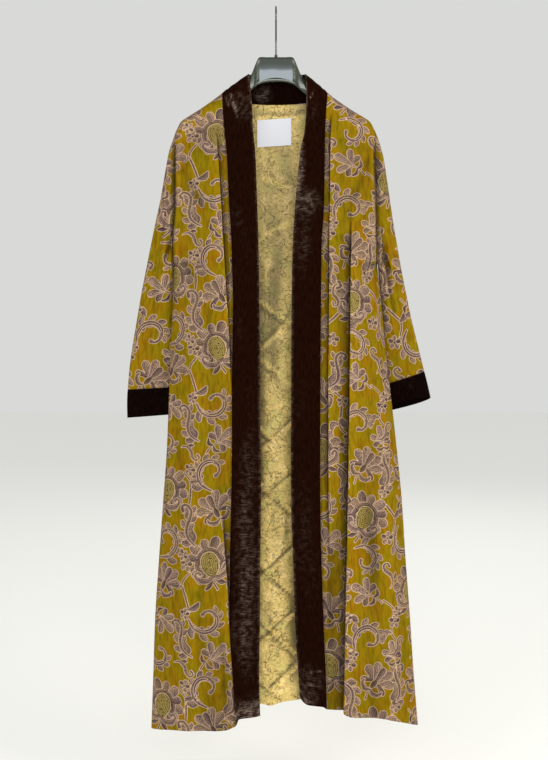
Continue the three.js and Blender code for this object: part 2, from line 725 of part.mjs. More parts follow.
// The hook's wire runs up out of the plate, back round the crook and forward over the rail
function addHook() {
  const reach = hook.crook + hook.wire;
  const points = [
    new THREE.Vector3(0, 0, -hook.stemBottom),
    new THREE.Vector3(0, 0, -(hook.stemBottom + hook.stemTop) / 2),
    new THREE.Vector3(0, 0, -hook.stemTop),
  ];
  for (let i = 0; i <= hook.bendSteps; i++) {
    const angle = THREE.MathUtils.degToRad(lerp(hook.entry, hook.tip, i / hook.bendSteps));
    points.push(new THREE.Vector3(0, reach * Math.cos(angle), -hook.crook + reach * Math.sin(angle)));
  }
  const path = new THREE.CatmullRomCurve3(points);
  const section = new THREE.Shape(Array.from({ length: hook.sides }, (_, i) => (
    new THREE.Vector2(hook.wire, 0).rotateAround(new THREE.Vector2(), (i / hook.sides) * 2 * Math.PI)
  )));
  const wire = new THREE.ExtrudeGeometry(section, {
    steps: hook.lengthSteps, extrudePath: path, bevelEnabled: false,
  });
  addPiece('hanger_hook', wire, 'platedSteel');
}

// The bead at the foot of the hook, bored for the wire
function addBall() {
  const profile = [new THREE.Vector2(ball.bore, -ball.half), new THREE.Vector2(ball.bore, ball.half)];
  const open = Math.asin(ball.bore / ball.radius);
  for (let i = 1; i < ball.arcSteps; i++) {
    const angle = lerp(open, Math.PI - open, i / ball.arcSteps);
    profile.push(new THREE.Vector2(ball.radius * Math.sin(angle), ball.radius * Math.cos(angle)));
  }
  profile.push(profile[0].clone());
  profile.reverse();
  const bead = new THREE.LatheGeometry(profile, ball.sides);
  bead.rotateX(Math.PI / 2);
  bead.translate(0, 0, -hangerSections.rows[0][1] + seamGap + ball.half);
  addPiece('hanger_ball', bead, 'platedSteel');
}

addFront('left');
addFront('right');
addBack();
addSleeve('left');
addSleeve('right');
addHanger();

export default jacket;
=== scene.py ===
import math
import bpy
import numpy as np
from mathutils import Matrix, Vector


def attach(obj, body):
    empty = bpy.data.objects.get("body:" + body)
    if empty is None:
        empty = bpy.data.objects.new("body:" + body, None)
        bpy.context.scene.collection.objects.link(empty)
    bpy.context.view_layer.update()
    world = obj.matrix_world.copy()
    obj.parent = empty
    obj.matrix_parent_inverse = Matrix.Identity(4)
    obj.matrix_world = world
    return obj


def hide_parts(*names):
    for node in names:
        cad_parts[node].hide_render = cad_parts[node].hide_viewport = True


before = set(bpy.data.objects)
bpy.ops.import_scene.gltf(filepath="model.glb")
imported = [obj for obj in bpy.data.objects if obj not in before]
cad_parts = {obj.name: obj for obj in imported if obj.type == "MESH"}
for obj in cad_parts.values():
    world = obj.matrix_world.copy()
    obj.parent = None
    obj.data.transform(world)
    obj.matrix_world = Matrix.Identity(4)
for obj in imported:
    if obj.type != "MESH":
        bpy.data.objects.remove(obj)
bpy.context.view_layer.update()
scene = bpy.context.scene

# Long kimono jacket in printed velvet on a wide-shouldered hanger.
# The cloth is worked out in millimetres in the model's frame: front towards -Y, +Z up, the origin
# inside the hook's crook. Heights are drops below it.

mm = 0.001


def table(columns, rows):
    return dict(zip(columns.split(), np.array(rows, float).T))


def at(source, column, place):
    # smooth curve through a table's rows; the first column is the place
    places = next(iter(source.values()))
    values = source[column]
    count = len(places)
    order = np.arange(count)
    before, after = np.maximum(order - 1, 0), np.minimum(order + 1, count - 1)
    slopes = (values[after] - values[before]) / (places[after] - places[before])
    place = np.clip(place, places[0], places[-1])
    i = np.clip(np.searchsorted(places, place, side="right") - 1, 0, count - 2)
    span = places[i + 1] - places[i]
    f = (place - places[i]) / span
    bend = f * f * (3 - 2 * f)
    leave = f * (1 - f) ** 2 * span * slopes[i]
    arrive = f * f * (f - 1) * span * slopes[i + 1]
    return values[i] + (values[i + 1] - values[i]) * bend + leave + arrive


def smooth(part):
    part = np.clip(part, 0, 1)
    return part * part * (3 - 2 * part)


def lerp(a, b, part):
    return a + (b - a) * part


# the jacket's measurements, as cut and hung

cloth = {
    "velvetWall": 1.6, "pleatLean": 5.0, "bandWall": 2.6, "cuffWall": 2.4, "labelWall": 0.8, "seamGap": 0.3,
    "underarmDrop": 512, "neckDrop": 170, "tipX": {"left": -198, "right": 196},
    "shoulderRoll": 21, "armholeDepth": 28, "armholeWidest": 340, "armholeSquareness": 1.9,
    "neckHalfWidth": 105, "neckCentreX": -2, "neckBack": 24, "neckDip": 20,
    "neckEdgeHalfWidth": 56, "neckEdgeCentreX": 2, "neckEdgeBack": 21,
    "neckEdgeDropRidge": 133, "neckEdgeDropCentre": 129, "neckRoundness": 0.8,
    "frontFlat": 0.75, "backFlat": 0.7, "sideSquareness": 1.6, "foldFadeAtSide": 0.15,
    "bandLift": 38, "bandLiftLength": 135, "bandHemRise": {"left": 6, "right": 4},
    "bandHemStep": {"left": 13, "right": 4}, "bandHemCorner": {"left": 1, "right": 14},
    "bandHemRiseLength": 120, "sleeveRoundness": 2.2, "cuffLean": {"left": 3, "right": 16},
    "bandWidth": 58, "sharpAngle": 62,
}

outline = table("drop leftSide leftSeam rightSeam rightSide", [
    [170, -198, -107, 103, 196], [200, -198, -106, 100, 196], [250, -198, -102, 97, 196],
    [300, -200, -97, 96, 195], [400, -200, -92, 94, 198], [460, -205, -88, 90, 200],
    [512, -205, -86.5, 88.5, 202], [580, -206, -84.5, 88, 209], [690, -210, -86, 87, 219],
    [780, -213, -86.5, 86.5, 229], [880, -217, -86.5, 86.5, 240], [980, -224, -88, 86.5, 250],
    [1090, -232, -90.5, 89, 257], [1210, -240, -90.5, 93, 266], [1330, -244, -83, 98, 274],
    [1440, -248, -76, 101, 283],
])
bandEdge = table("drop left right", [
    [132, -54, 58], [190, -48, 60], [250, -45, 56], [290, -41, 48], [390, -37, 38],
    [510, -33.5, 31.5], [780, -31, 29.5], [980, -29.5, 29.5], [1090, -31, 33.5],
    [1210, -31.5, 37], [1330, -33, 44], [1440, -29.5, 50],
])
depths = table("drop front back edge turn", [
    [170, 20, 21, 19, 0], [244, 25, 26, 25, 0], [300, 31, 29, 31, 0], [380, 38, 32, 37, 0],
    [512, 43, 34, 41, 0], [600, 45, 35, 42, -6], [760, 46, 36, 42, -12], [1000, 46, 36, 41, -12],
    [1200, 48, 37, 38, -12], [1440, 52, 38, 35, -12],
])
ridge = table("across drop", [[0, 170], [0.2, 184], [0.5, 203], [0.8, 220], [0.92, 229], [1, 244]])
frontHem = table("across left right", [
    [0, 1408, 1382], [0.1, 1417, 1383], [0.19, 1420, 1384], [0.25, 1421, 1392], [0.5, 1422, 1398],
    [0.75, 1427, 1408], [1, 1434, 1428],
])
backHem = table("across drop", [
    [0, 1434], [0.15, 1424], [0.33, 1409], [0.41, 1407], [0.45, 1410], [0.49, 1403], [0.56, 1399],
    [0.64, 1398], [0.8, 1409], [1, 1428],
])

# Folds down the panels: a fold with a facing is a pleat's edge, the others are soft waves.
# from, to, fadeIn, fadeOut, xFrom, xMiddle, xTo, rise, steep, reach, facing, share of the painted crevice
# shade kept lower down
folds = {
    "left": [
        [240, 800, 90, 160, -122, -105, -88, 11, 6, 48, -1, 0.9],
        [960, 1480, 170, 1, -112, -93, -70, 16, 7, 60, -1, 0.8],
        [560, 1480, 300, 1, -150, -160, -172, 6, 0, 22, 0, 0],
    ],
    "right": [
        [205, 1130, 60, 220, 113, 107, 108, 9, 5, 30, 1, 0.7],
        [380, 1480, 160, 1, 152, 145, 134, 15, 6, 58, 1, 0.35],
        [660, 1480, 320, 1, 206, 219, 236, 6, 0, 20, 0, 0],
    ],
    "back": [
        [480, 1480, 320, 1, -118, -130, -146, 8, 0, 26, 0, 0],
        [420, 1480, 380, 1, -34, -42, -60, 6, 0, 22, 0, 0],
        [560, 1480, 300, 1, 44, 52, 66, 8, 0, 24, 0, 0],
        [520, 1480, 320, 1, 128, 146, 168, 7, 0, 28, 0, 0],
    ],
}

# Sleeve sections: outer line, inner line, how far back each lies, half of the depth
sleeveColumns = "outerX outerDrop innerX innerDrop outerY innerY half"
sleeves = {
    "left": table(sleeveColumns, [
        [-206, 263, -207.5, 518, 0, 1, 28], [-214, 287, -207.2, 530, 1, 4, 28],
        [-221, 325, -207, 546, 1, 8, 28], [-230, 375, -207.2, 566, 2, 12, 28],
        [-243, 437, -206.5, 591, 2, 15, 27], [-256, 503, -203, 620, 3, 17.5, 26],
        [-270, 572, -198, 651, 4, 19.5, 24], [-282, 640, -193, 685, 5, 21, 21.5],
        [-291.5, 702, -187.5, 721, 6, 22, 19], [-297, 763, -182, 757, 6, 22, 17],
        [-298, 792, -183, 785, 6, 22, 17], [-297.5, 820, -184, 813, 6, 22, 17],
    ]),
    "right": table(sleeveColumns, [
        [205, 264, 204.5, 517, 0, 1, 28], [214, 295, 205.3, 528, 1, 4, 28],
        [221, 338, 206.6, 543, 1, 8, 28], [229, 390, 208.6, 562, 2, 12, 28],
        [238, 448, 210.8, 587, 2, 15, 27], [248, 508, 210, 616, 3, 17.5, 26],
        [260, 567, 207, 648, 4, 19.5, 24], [272, 624, 203, 684, 5, 21, 21.5],
        [285, 677, 199, 722, 6, 22, 19], [297, 727, 196, 761, 6, 22, 17],
        [303.5, 754, 199, 785, 6, 22, 17], [309.5, 780, 202, 809, 6, 22, 17],
    ]),
}
sleeveRings = 10  # the rings after these are the cuff's

# Folds of a sleeve: face, place at both ends, from ring, to ring, rise, half width (share of section)
sleeveFolds = {
    "left": [
        ["front", 0.78, 0.6, 0, 5, -7, 0.1], ["front", 0.3, 0.36, 2, 9, -4, 0.12],
        ["back", 0.45, 0.4, 1, 8, -5, 0.14],
    ],
    "right": [
        ["front", 0.75, 0.5, 0, 8, -8, 0.1], ["front", 0.3, 0.25, 3, 10, -4, 0.1],
        ["back", 0.5, 0.45, 1, 8, -5, 0.14],
    ],
}


def foldLine(row, drop):
    # where a fold's line lies at a drop, and how far the fold has come in there
    start, end, fadeIn, fadeOut, xFrom, xMiddle, xTo = row[:7]
    part = np.clip((drop - start) / (end - start), 0, 1)
    bow = 2 * xMiddle - (xFrom + xTo) / 2
    line = (1 - part) ** 2 * xFrom + 2 * part * (1 - part) * bow + part * part * xTo
    return line, smooth((drop - start) / fadeIn) * smooth((end - drop) / fadeOut)


def foldRise(panel, x, drop):
    total = np.zeros(np.broadcast(x, drop).shape)
    for row in folds[panel]:
        line, fade = foldLine(row, drop)
        rise, steep, reach, facing = row[7:11]
        away = (x - line) * (facing or 1)
        if facing:
            profile = smooth(1 + away / steep) * np.exp(-np.maximum(away, 0) / reach)
        else:
            profile = np.exp(-((away / reach) ** 2))
        total = total + rise * fade * profile
    return total


def tuck(panel, x, drop):
    # a pleat's edge leans over its recess: the lean sideways, and how much painted shade a point gets in the
    # crevice
    lean, creviceShade = np.zeros(x.shape), np.zeros(x.shape)
    for row in folds[panel]:
        line, fade = foldLine(row, drop)
        steep, facing, below = row[8], row[10], row[11]
        if facing:
            away = (x - line) * facing
            over = 0.5 * np.exp(-(((away + steep) / 4) ** 2)) - np.exp(-((away / 5) ** 2))
            lean += facing * fade * over
            dark = fade * lerp(1, below, smooth((drop - 1000) / 200))
            creviceShade = np.maximum(creviceShade, dark * np.exp(-(((away + 0.8 * steep) / 2.6) ** 2)))
    return lean * cloth["pleatLean"], creviceShade


def sideProfile(part):
    rest = 1 - np.clip(part, 0, 1)
    return (1 - rest ** cloth["sideSquareness"]) ** (1 / cloth["sideSquareness"])


def roll(below):
    rest = 1 - np.clip(below / cloth["shoulderRoll"], 0, 1)
    return np.sqrt(1 - rest * rest)


def armholeHalf(drop):
    widest, lowest = cloth["armholeWidest"], cloth["underarmDrop"]
    neck = cloth["neckDrop"]
    full = lerp(20, cloth["armholeDepth"], smooth((drop - neck) / (widest - neck)))
    part = np.clip((drop - widest) / (lowest - widest), 0, 1)
    power = cloth["armholeSquareness"]
    return full * (1 - part ** power) ** (1 / power)


def fallDrop(top, hem, fall):
    under = cloth["underarmDrop"]
    return np.where(fall < 1, lerp(top, under, fall), lerp(under, hem, fall - 1))


def frontPoint(side, across, fall):
    top = at(ridge, "drop", across)
    drop = fallDrop(top, at(frontHem, side, across), fall)
    x = lerp(at(outline, side + "Seam", drop), at(outline, side + "Side", drop), across)
    profile = sideProfile((1 - across) / cloth["frontFlat"])
    turned = roll(drop - top)
    edge = at(depths, "turn", drop) - armholeHalf(drop) * turned
    middle = -at(depths, "front", drop) * turned
    raised = foldRise(side, x, drop) * turned * smooth((1 - across) / cloth["foldFadeAtSide"])
    return np.stack([x, lerp(edge, middle, profile) - raised - cloth["seamGap"] / 2, -drop], -1)


def bandPoint(side, across, fall):
    seam = frontPoint(side, np.zeros_like(across * fall), fall)
    drop = -seam[..., 2]
    hem = at(frontHem, side, 0.0)
    lift = cloth["bandLift"] * smooth(1 - (drop - cloth["neckDrop"]) / cloth["bandLiftLength"])
    rise = cloth["bandHemRise"][side] * smooth(1 - (hem - drop) / cloth["bandHemRiseLength"])
    edgeDrop = drop - lift - rise
    edgeY = -at(depths, "edge", drop) * roll(drop - cloth["neckDrop"]) - cloth["seamGap"] / 2
    edge = np.stack([at(bandEdge, side, edgeDrop), edgeY, -edgeDrop], -1)
    return lerp(seam, edge, np.broadcast_to(across, drop.shape)[..., None])


def neckX(turn):
    return cloth["neckCentreX"] + cloth["neckHalfWidth"] * np.sin(turn * np.pi / 2)


def backTop(x):
    turn = (x - cloth["neckCentreX"]) / cloth["neckHalfWidth"]
    tip = np.where(turn < 0, cloth["tipX"]["left"], cloth["tipX"]["right"])
    neck = neckX(np.where(turn < 0, -1.0, 1.0))
    onRidge = np.abs(turn) >= 1 - 1e-9
    inwards = np.sqrt(np.clip(1 - turn * turn, 0, 1)) ** cloth["neckRoundness"]
    drop = np.where(onRidge, at(ridge, "drop", (x - neck) / (tip - neck)),
                    cloth["neckDrop"] + cloth["neckDip"] * inwards)
    return drop, np.where(onRidge, 0, cloth["neckBack"] * inwards)


def backPoint(topX, fall):
    left, right = cloth["tipX"]["left"], cloth["tipX"]["right"]
    across = (topX - left) / (right - left)
    topDrop, topY = backTop(topX)
    drop = fallDrop(topDrop, at(backHem, "drop", across), fall)
    x = lerp(at(outline, "leftSide", drop), at(outline, "rightSide", drop), across)
    nearest = 2 * np.minimum(across, 1 - across)
    profile = sideProfile(nearest / cloth["backFlat"])
    edge = at(depths, "turn", drop) + armholeHalf(drop)
    raised = foldRise("back", x, drop) * smooth(nearest / cloth["foldFadeAtSide"])
    full = lerp(edge, at(depths, "back", drop), profile) + raised
    start = np.where(fall < 1, topY, full)
    y = lerp(start, full, roll(drop - topDrop)) + cloth["seamGap"] / 2
    return np.stack([x, y, -drop], -1)


def neckBandPoint(turn, across):
    seam = backPoint(neckX(turn), np.zeros_like(turn * across))
    inwards = np.clip(np.cos(turn * np.pi / 2), 0, 1) ** cloth["neckRoundness"]
    edgeX = cloth["neckEdgeCentreX"] + cloth["neckEdgeHalfWidth"] * np.sin(turn * np.pi / 2)
    edgeDrop = lerp(cloth["neckEdgeDropRidge"], cloth["neckEdgeDropCentre"], inwards)
    edge = np.stack([edgeX, cloth["neckEdgeBack"] * inwards + cloth["seamGap"] / 2, -edgeDrop], -1)
    edge = np.broadcast_to(edge, seam.shape)
    return lerp(seam, edge, np.broadcast_to(across, seam.shape[:-1])[..., None])


# creases: short soft ridges (+) and troughs (-) across the folds
# x and drop at both ends, bow sideways, rise, half width, all in millimetres

creases = {
    "left": [
        [-190, 300, -128, 420, 8, -2.2, 9], [-196, 380, -120, 500, -6, 1.8, 11],
        [-200, 470, -150, 560, 5, -2.4, 10], [-132, 560, -118, 760, 6, -1.8, 8],
        [-176, 640, -150, 860, -8, 1.8, 12], [-205, 720, -182, 960, 6, -2.0, 11],
        [-120, 860, -132, 1060, 5, 1.6, 9], [-196, 1000, -178, 1250, -7, 2.2, 13],
        [-142, 1080, -150, 1330, 6, -2.2, 10], [-222, 1130, -215, 1400, 4, -1.8, 10],
        [-112, 1190, -100, 1400, -4, -1.6, 8], [-186, 1290, -192, 1440, 3, 1.6, 12],
        [-150, 250, -118, 330, -5, 1.5, 8],
    ],
    "right": [
        [186, 290, 140, 400, -6, -2.0, 9], [196, 380, 128, 470, 8, 1.8, 11],
        [200, 480, 150, 590, -5, -2.2, 10], [126, 470, 124, 690, 4, -1.6, 8],
        [176, 600, 182, 860, 8, 2.0, 12], [204, 700, 198, 930, -6, -2.0, 11],
        [118, 780, 122, 980, 5, 1.6, 8], [170, 930, 190, 1190, -7, -2.2, 12],
        [216, 960, 232, 1230, 6, 1.8, 11], [112, 1040, 110, 1290, 4, -1.8, 9],
        [186, 1180, 204, 1400, -5, 2.0, 12], [248, 1200, 262, 1420, 4, -1.8, 10],
        [150, 1250, 158, 1410, 3, -1.4, 8], [130, 205, 150, 290, 4, 1.4, 8],
    ],
    "back": [
        [-184, 290, -110, 360, 8, 2.0, 12], [180, 300, 105, 372, -8, 2.2, 12],
        [-200, 440, -110, 520, -8, -2.4, 12], [198, 430, 120, 540, 8, -2.2, 12],
        [-150, 560, -160, 800, 8, 2.6, 14], [-86, 520, -90, 860, -7, -2.6, 13],
        [4, 460, 0, 800, 6, 2.4, 14], [92, 560, 100, 900, -6, -2.8, 13],
        [176, 600, 196, 880, 7, 2.4, 13], [-190, 860, -206, 1180, -6, -2.6, 13],
        [-12, 900, -20, 1240, 6, -2.6, 13], [96, 1000, 112, 1390, 7, -2.8, 14],
        [206, 960, 232, 1330, -6, 2.4, 13], [-100, 960, -104, 1390, 6, 2.6, 14],
        [-172, 1240, -182, 1425, 3, 2.2, 12], [30, 1160, 28, 1396, -4, 2.2, 13],
        # the pressed lozenges of the hanging back, seen from the front between the bands
        [-84, 792, 18, 884, 4, -2.8, 3.6], [66, 800, -40, 900, -3, -2.5, 3.6],
        [-72, 930, 64, 1046, -4, -3.2, 3.6], [70, 920, -62, 1030, 5, -2.8, 3.6],
        [-80, 1070, 50, 1196, 3, -3.4, 3.6], [66, 1064, -70, 1180, -4, -3.4, 3.6],
        [-70, 1200, 60, 1330, -4, -3.6, 3.6], [62, 1206, -66, 1322, 4, -3.4, 3.6],
        [-60, 1330, 10, 1392, 2, -2.8, 3.6], [56, 1316, -20, 1384, -3, -2.8, 3.6],
        [-30, 880, -22, 980, 3, 1.4, 5], [20, 1000, 16, 1100, -3, 1.4, 5],
        [-14, 1180, -8, 1290, 3, 1.5, 5],
        [-60, 560, 44, 640, 4, -1.3, 4.5], [50, 600, -48, 700, -4, -1.4, 4.5],
        [-48, 690, 40, 770, -3, -1.3, 4.5], [-36, 330, 40, 360, 2, -1.0, 5],
        [40, 420, -44, 470, 3, -1.0, 5.5], [-100, 216, 100, 206, -3, 1.0, 3.5],
    ],
}


def creaseRise(panel, x, drop):
    total = np.zeros(x.shape)
    for x0, drop0, x1, drop1, bow, rise, width in creases[panel]:
        along = np.array([x1 - x0, drop1 - drop0], float)
        length = np.hypot(*along)
        along /= length
        part = ((x - x0) * along[0] + (drop - drop0) * along[1]) / length
        side = (x - x0) * -along[1] + (drop - drop0) * along[0]
        inside = np.clip(part, 0, 1)
        off = side - bow * 4 * inside * (1 - inside)
        ends = smooth(part / 0.25) * smooth((1 - part) / 0.3)
        total += rise * ends * np.exp(-((off / width) ** 2))
        if width < 5:  # a pressed crease has a trough beside its ridge
            total -= 0.7 * rise * ends * np.exp(-((off / width - 2) ** 2))
    return total


def drift(a, b, size, seed):
    # slow unevenness of hanging cloth: a few fixed waves
    rng = np.random.default_rng(seed)
    total = np.zeros(np.broadcast(a, b).shape)
    for i in range(7):
        turn, phase = rng.uniform(0, 2 * np.pi, 2)
        length = size * rng.uniform(0.6, 1.8)
        total += np.sin((a * np.cos(turn) * 1.8 + b * np.sin(turn) * 0.55) * 2 * np.pi / length + phase)
    return total / 7


# grids to closed shells

def gridNormals(grid, around=False):
    if around:
        acrossStep = np.roll(grid, -1, 1) - np.roll(grid, 1, 1)
    else:
        acrossStep = np.gradient(grid, axis=1)
    downStep = np.gradient(grid, axis=0)
    normal = np.cross(acrossStep, downStep)
    return normal / np.maximum(np.linalg.norm(normal, axis=-1, keepdims=True), 1e-9)


def wallWay(normal, leftOut):
    # unit way through the cloth; where an axis is left out a seam's cut faces stay flat
    way = normal.copy()
    for axis in (0, 1):
        way[..., axis] = np.where(leftOut == axis + 1, 0, way[..., axis])
    way /= np.maximum(np.linalg.norm(way, axis=-1, keepdims=True), 1e-9)
    return way / np.maximum(np.sum(way * normal, -1, keepdims=True), 0.5)


def trimEdge(grid, edge, amount):
    grid = grid.copy()
    pairs = {"top": (np.s_[0], np.s_[1]), "bottom": (np.s_[-1], np.s_[-2]),
             "left": (np.s_[:, 0], np.s_[:, 1]), "right": (np.s_[:, -1], np.s_[:, -2])}
    rim, nextOne = pairs[edge]
    step = grid[nextOne] - grid[rim]
    grid[rim] += step / np.maximum(np.linalg.norm(step, axis=-1, keepdims=True), 1e-9) * amount
    return grid


def meshFromQuads(name, points, quads, uv=None, faceMaterial=None):
    a, b, c, d = (points[quads[:, k]] for k in range(4))
    volume = np.sum(a * np.cross(b, c)) + np.sum(a * np.cross(c, d))
    if volume < 0:
        quads = quads[:, ::-1]
        uv = None if uv is None else uv[:, ::-1]
    mesh = bpy.data.meshes.new(name)
    mesh.vertices.add(len(points))
    mesh.vertices.foreach_set("co", (points * mm).astype(np.float32).ravel())
    mesh.loops.add(quads.size)
    mesh.loops.foreach_set("vertex_index", quads.astype(np.int32).ravel())
    mesh.polygons.add(len(quads))
    mesh.polygons.foreach_set("loop_start", np.arange(0, quads.size, 4, dtype=np.int32))
    mesh.polygons.foreach_set("use_smooth", np.ones(len(quads), bool))
    if faceMaterial is not None:
        mesh.polygons.foreach_set("material_index", faceMaterial.astype(np.int32))
    mesh.update(calc_edges=True)
    if uv is not None:
        layer = mesh.uv_layers.new(name="UVMap")
        layer.data.foreach_set("uv", uv.astype(np.float32).ravel())
    mesh.set_sharp_from_angle(angle=math.radians(cloth["sharpAngle"]))
    return mesh


def linkObject(name, data):
    made = bpy.data.objects.new(name, data)
    scene.collection.objects.link(made)
    return made


def tubeQuads(rows, count):
    # a tube through rings of count points each, closed at both ends
    r, c = np.meshgrid(np.arange(rows - 1), np.arange(count), indexing="ij")
    r, c = r.ravel(), c.ravel()
    nextC = (c + 1) % count
    quads = np.stack([r * count + c, r * count + nextC, (r + 1) * count + nextC, (r + 1) * count + c], -1)
    caps = []
    for row in (0, rows - 1):
        for k in range(count // 2 - 1):
            near, far = row * count + k, row * count + count - 1 - k
            loop = [near, near + 1, far - 1, far]
            caps.append(loop[::-1] if row == 0 else loop)
    return np.vstack([quads, caps])


def shellQuads(rows, columns, around):
    # outer face, inner face and the rim between two grids of the same size
    half = rows * columns
    steps = columns if around else columns - 1
    r, c = np.meshgrid(np.arange(rows - 1), np.arange(steps), indexing="ij")
    r, c = r.ravel(), c.ravel()
    nextC = (c + 1) % columns
    outer = np.stack([r * columns + c, r * columns + nextC,
                      (r + 1) * columns + nextC, (r + 1) * columns + c], -1)
    corners = np.stack([np.stack([r, c], -1), np.stack([r, c + 1], -1),
                        np.stack([r + 1, c + 1], -1), np.stack([r + 1, c], -1)], 1)
    inner = outer[:, ::-1] + half
    c = np.arange(steps)
    nextC = (c + 1) % columns
    low = (rows - 1) * columns
    top = np.stack([c, c + half, nextC + half, nextC], -1)
    bottom = np.stack([low + c, low + nextC, low + nextC + half, low + c + half], -1)
    rimCorners = [np.stack([np.stack([0 * c, c + k], -1) for k in (0, 0, 1, 1)], 1),
                  np.stack([np.stack([0 * c + rows - 1, c + k], -1) for k in (0, 1, 1, 0)], 1)]
    rims = [top, bottom]
    if not around:
        r = np.arange(rows - 1)
        left = np.stack([r * columns, (r + 1) * columns, (r + 1) * columns + half, r * columns + half], -1)
        right = left[:, ::-1] + columns - 1
        rims += [left, right]
        rimCorners += [np.stack([np.stack([r + k, 0 * r], -1) for k in (0, 1, 1, 0)], 1),
                       np.stack([np.stack([r + k, 0 * r + columns - 1], -1) for k in (0, 1, 1, 0)], 1)]
    quads = np.vstack([outer, inner] + rims)
    corners = np.vstack([corners, corners[:, ::-1]] + rimCorners)
    kind = np.repeat([0, 1, 0], [len(outer), len(inner), sum(len(rim) for rim in rims)])
    return quads, corners, kind


def clothSize(grid, around=False, level=None):
    # cloth coordinates in millimetres: u across from the middle column, v down from the top;
    # with a level row, the grain hangs plumb and every column is measured from that row
    if level is not None:
        across = np.linalg.norm(np.diff(grid, axis=1)[..., :2], axis=-1)
        down = np.linalg.norm(np.diff(grid, axis=0)[..., 1:], axis=-1)
        u = np.concatenate([np.zeros((len(grid), 1)), np.cumsum(across, 1)], 1)
        v = np.concatenate([np.zeros((1, grid.shape[1])), np.cumsum(down, 0)])
        return u - u[:, [grid.shape[1] // 2]], v - v[[level]]
    closed = np.concatenate([grid, grid[:, :1]], 1) if around else grid
    across = np.linalg.norm(np.diff(closed, axis=1), axis=-1)
    u = np.concatenate([np.zeros((len(grid), 1)), np.cumsum(across, 1)], 1)
    u -= u[:, closed.shape[1] // 2][:, None]
    middle = closed[:, closed.shape[1] // 2]
    down = np.linalg.norm(np.diff(middle, axis=0), axis=-1)
    v = np.concatenate([[0], np.cumsum(down)])[:, None] + 0 * u
    return u, v


def sleeveCloth(grid, faceColumns):
    # a sleeve's cloth coordinates: each face laid flat from the outer line, the back folded over it
    closed = np.concatenate([grid, grid[:, :1]], 1)
    line = closed[:, faceColumns - 1][:, ::2]
    axis = (line[-1] - line[0]) / np.linalg.norm(line[-1] - line[0])
    side = np.array([-axis[1], axis[0]])
    laid = []
    for face in (closed[:, faceColumns - 1:], closed[:, faceColumns - 1::-1]):
        flat = face[..., ::2]
        full, seen = (np.linalg.norm(np.diff(p, axis=1), axis=-1) for p in (face, flat))
        hidden = np.concatenate([np.zeros((len(face), 1)), np.cumsum(full - seen, 1)], 1)
        way = flat[:, -1] - flat[:, 0]
        way /= np.linalg.norm(way, axis=-1, keepdims=True)
        flat = flat + hidden[..., None] * way[:, None]
        laid.append((flat @ side, flat @ axis))
    (uFront, vFront), (uBack, vBack) = laid
    uBack = 2 * np.interp(vBack, line @ axis, line @ side) - uBack
    return (np.concatenate([uBack[:, ::-1], uFront[:, 1:]], 1),
            np.concatenate([vBack[:, ::-1], vFront[:, 1:]], 1))


def blur(values, axis, count, wraps):
    # mean over a window of count steps to either side; past an open edge the surface runs straight on
    count = max(1, min(count, values.shape[axis] // 2 - 1))
    width = [(0, 0)] * values.ndim
    width[axis] = (count, count)
    padded = np.pad(values, width, "wrap") if wraps else np.pad(values, width, "reflect", reflect_type="odd")
    first = np.zeros_like(np.take(padded, [0], axis))
    total = np.cumsum(np.concatenate([first, padded], axis), axis)
    window = 2 * count + 1
    ahead = np.take(total, np.arange(window, total.shape[axis]), axis)
    behind = np.take(total, np.arange(total.shape[axis] - window), axis)
    return (ahead - behind) / window


hollows = {"reaches": [(16.0, 1.0), (56.0, 0.5)], "most": 4.0, "depths": [-4, -0.8, 0, 1.2, 3, 8],
           "light": [1.25, 1.1, 1, 0.7, 0.42, 0.1],
           "depthsInside": [-2, -0.5, 0, 0.5, 2], "lightInside": [1.6, 1.22, 1, 0.7, 0.36]}


def hollowOf(outer, inner, around):
    # how far each point lies below its near and its wider surroundings, in millimetres
    outwards = outer - inner
    outwards = outwards / np.linalg.norm(outwards, axis=-1, keepdims=True)
    depth = 0
    for reach, share in hollows["reaches"]:
        mean = outer
        for axis in (0, 1):
            step = np.linalg.norm(np.diff(outer, axis=axis), axis=-1).mean()
            for _ in range(2):
                mean = blur(mean, axis, int(round(reach / 2 / step)), around and axis == 1)
        depth = depth + share * np.sum((mean - outer) * outwards, -1)
    return np.clip(depth, -hollows["most"], hollows["most"])


# an extra depth given per point adds painted shade along seams and in crevices, as millimetres of hollow
def makeShell(name, outer, inner, materials, around=False, uShift=0.0, vShift=0.0, printed=None, paintedShadeDepth=0.0,
              level=None, laid=None, turnedRows=0):
    rows, columns = outer.shape[:2]
    u, v = laid or clothSize(outer, around, level)
    u, v = u + uShift, v + vShift
    quads, corners, kind = shellQuads(rows, columns, around)
    kind[corners[..., 0].max(1) <= turnedRows] = 0  # a seam's edge turned in shows the printed side
    uv = np.stack([u[corners[..., 0], corners[..., 1]], -v[corners[..., 0], corners[..., 1]]], -1) * mm
    points = np.concatenate([outer.reshape(-1, 3), inner.reshape(-1, 3)])
    mesh = meshFromQuads(name, points, quads, uv, kind if len(materials) > 1 else None)
    for material in materials:
        mesh.materials.append(material)
    if printed:
        fields = printed(u[:, :columns], -v[:, :columns])
        fields = {key: np.tile(values.ravel(), 2) for key, values in fields.items()}
        # painted shade and highlight: hollows get a darker colour and ridges a lighter one, on either face
        hollow = hollowOf(outer, inner, around)
        lit = np.interp(hollow + paintedShadeDepth, hollows["depths"], hollows["light"])
        litInside = np.interp(-hollow, hollows["depthsInside"], hollows["lightInside"])
        fields["lit"] = np.concatenate([lit.ravel(), (lit if around else litInside).ravel()])
        for key, values in fields.items():
            layer = mesh.attributes.new(key, "FLOAT", "POINT")
            layer.data.foreach_set("value", values.astype(np.float32))
    return linkObject(name, mesh)


# the print: palmettes, irises, curled leaves and blossoms drawn with swelling strokes
# A stroke is (layer, tone, points of x, y and half width). Higher layers lie over lower ones.
# Tones: 0 cream, 0.35 taupe, 0.6 grey lilac, 0.85 plum, 1 a seeded ground.

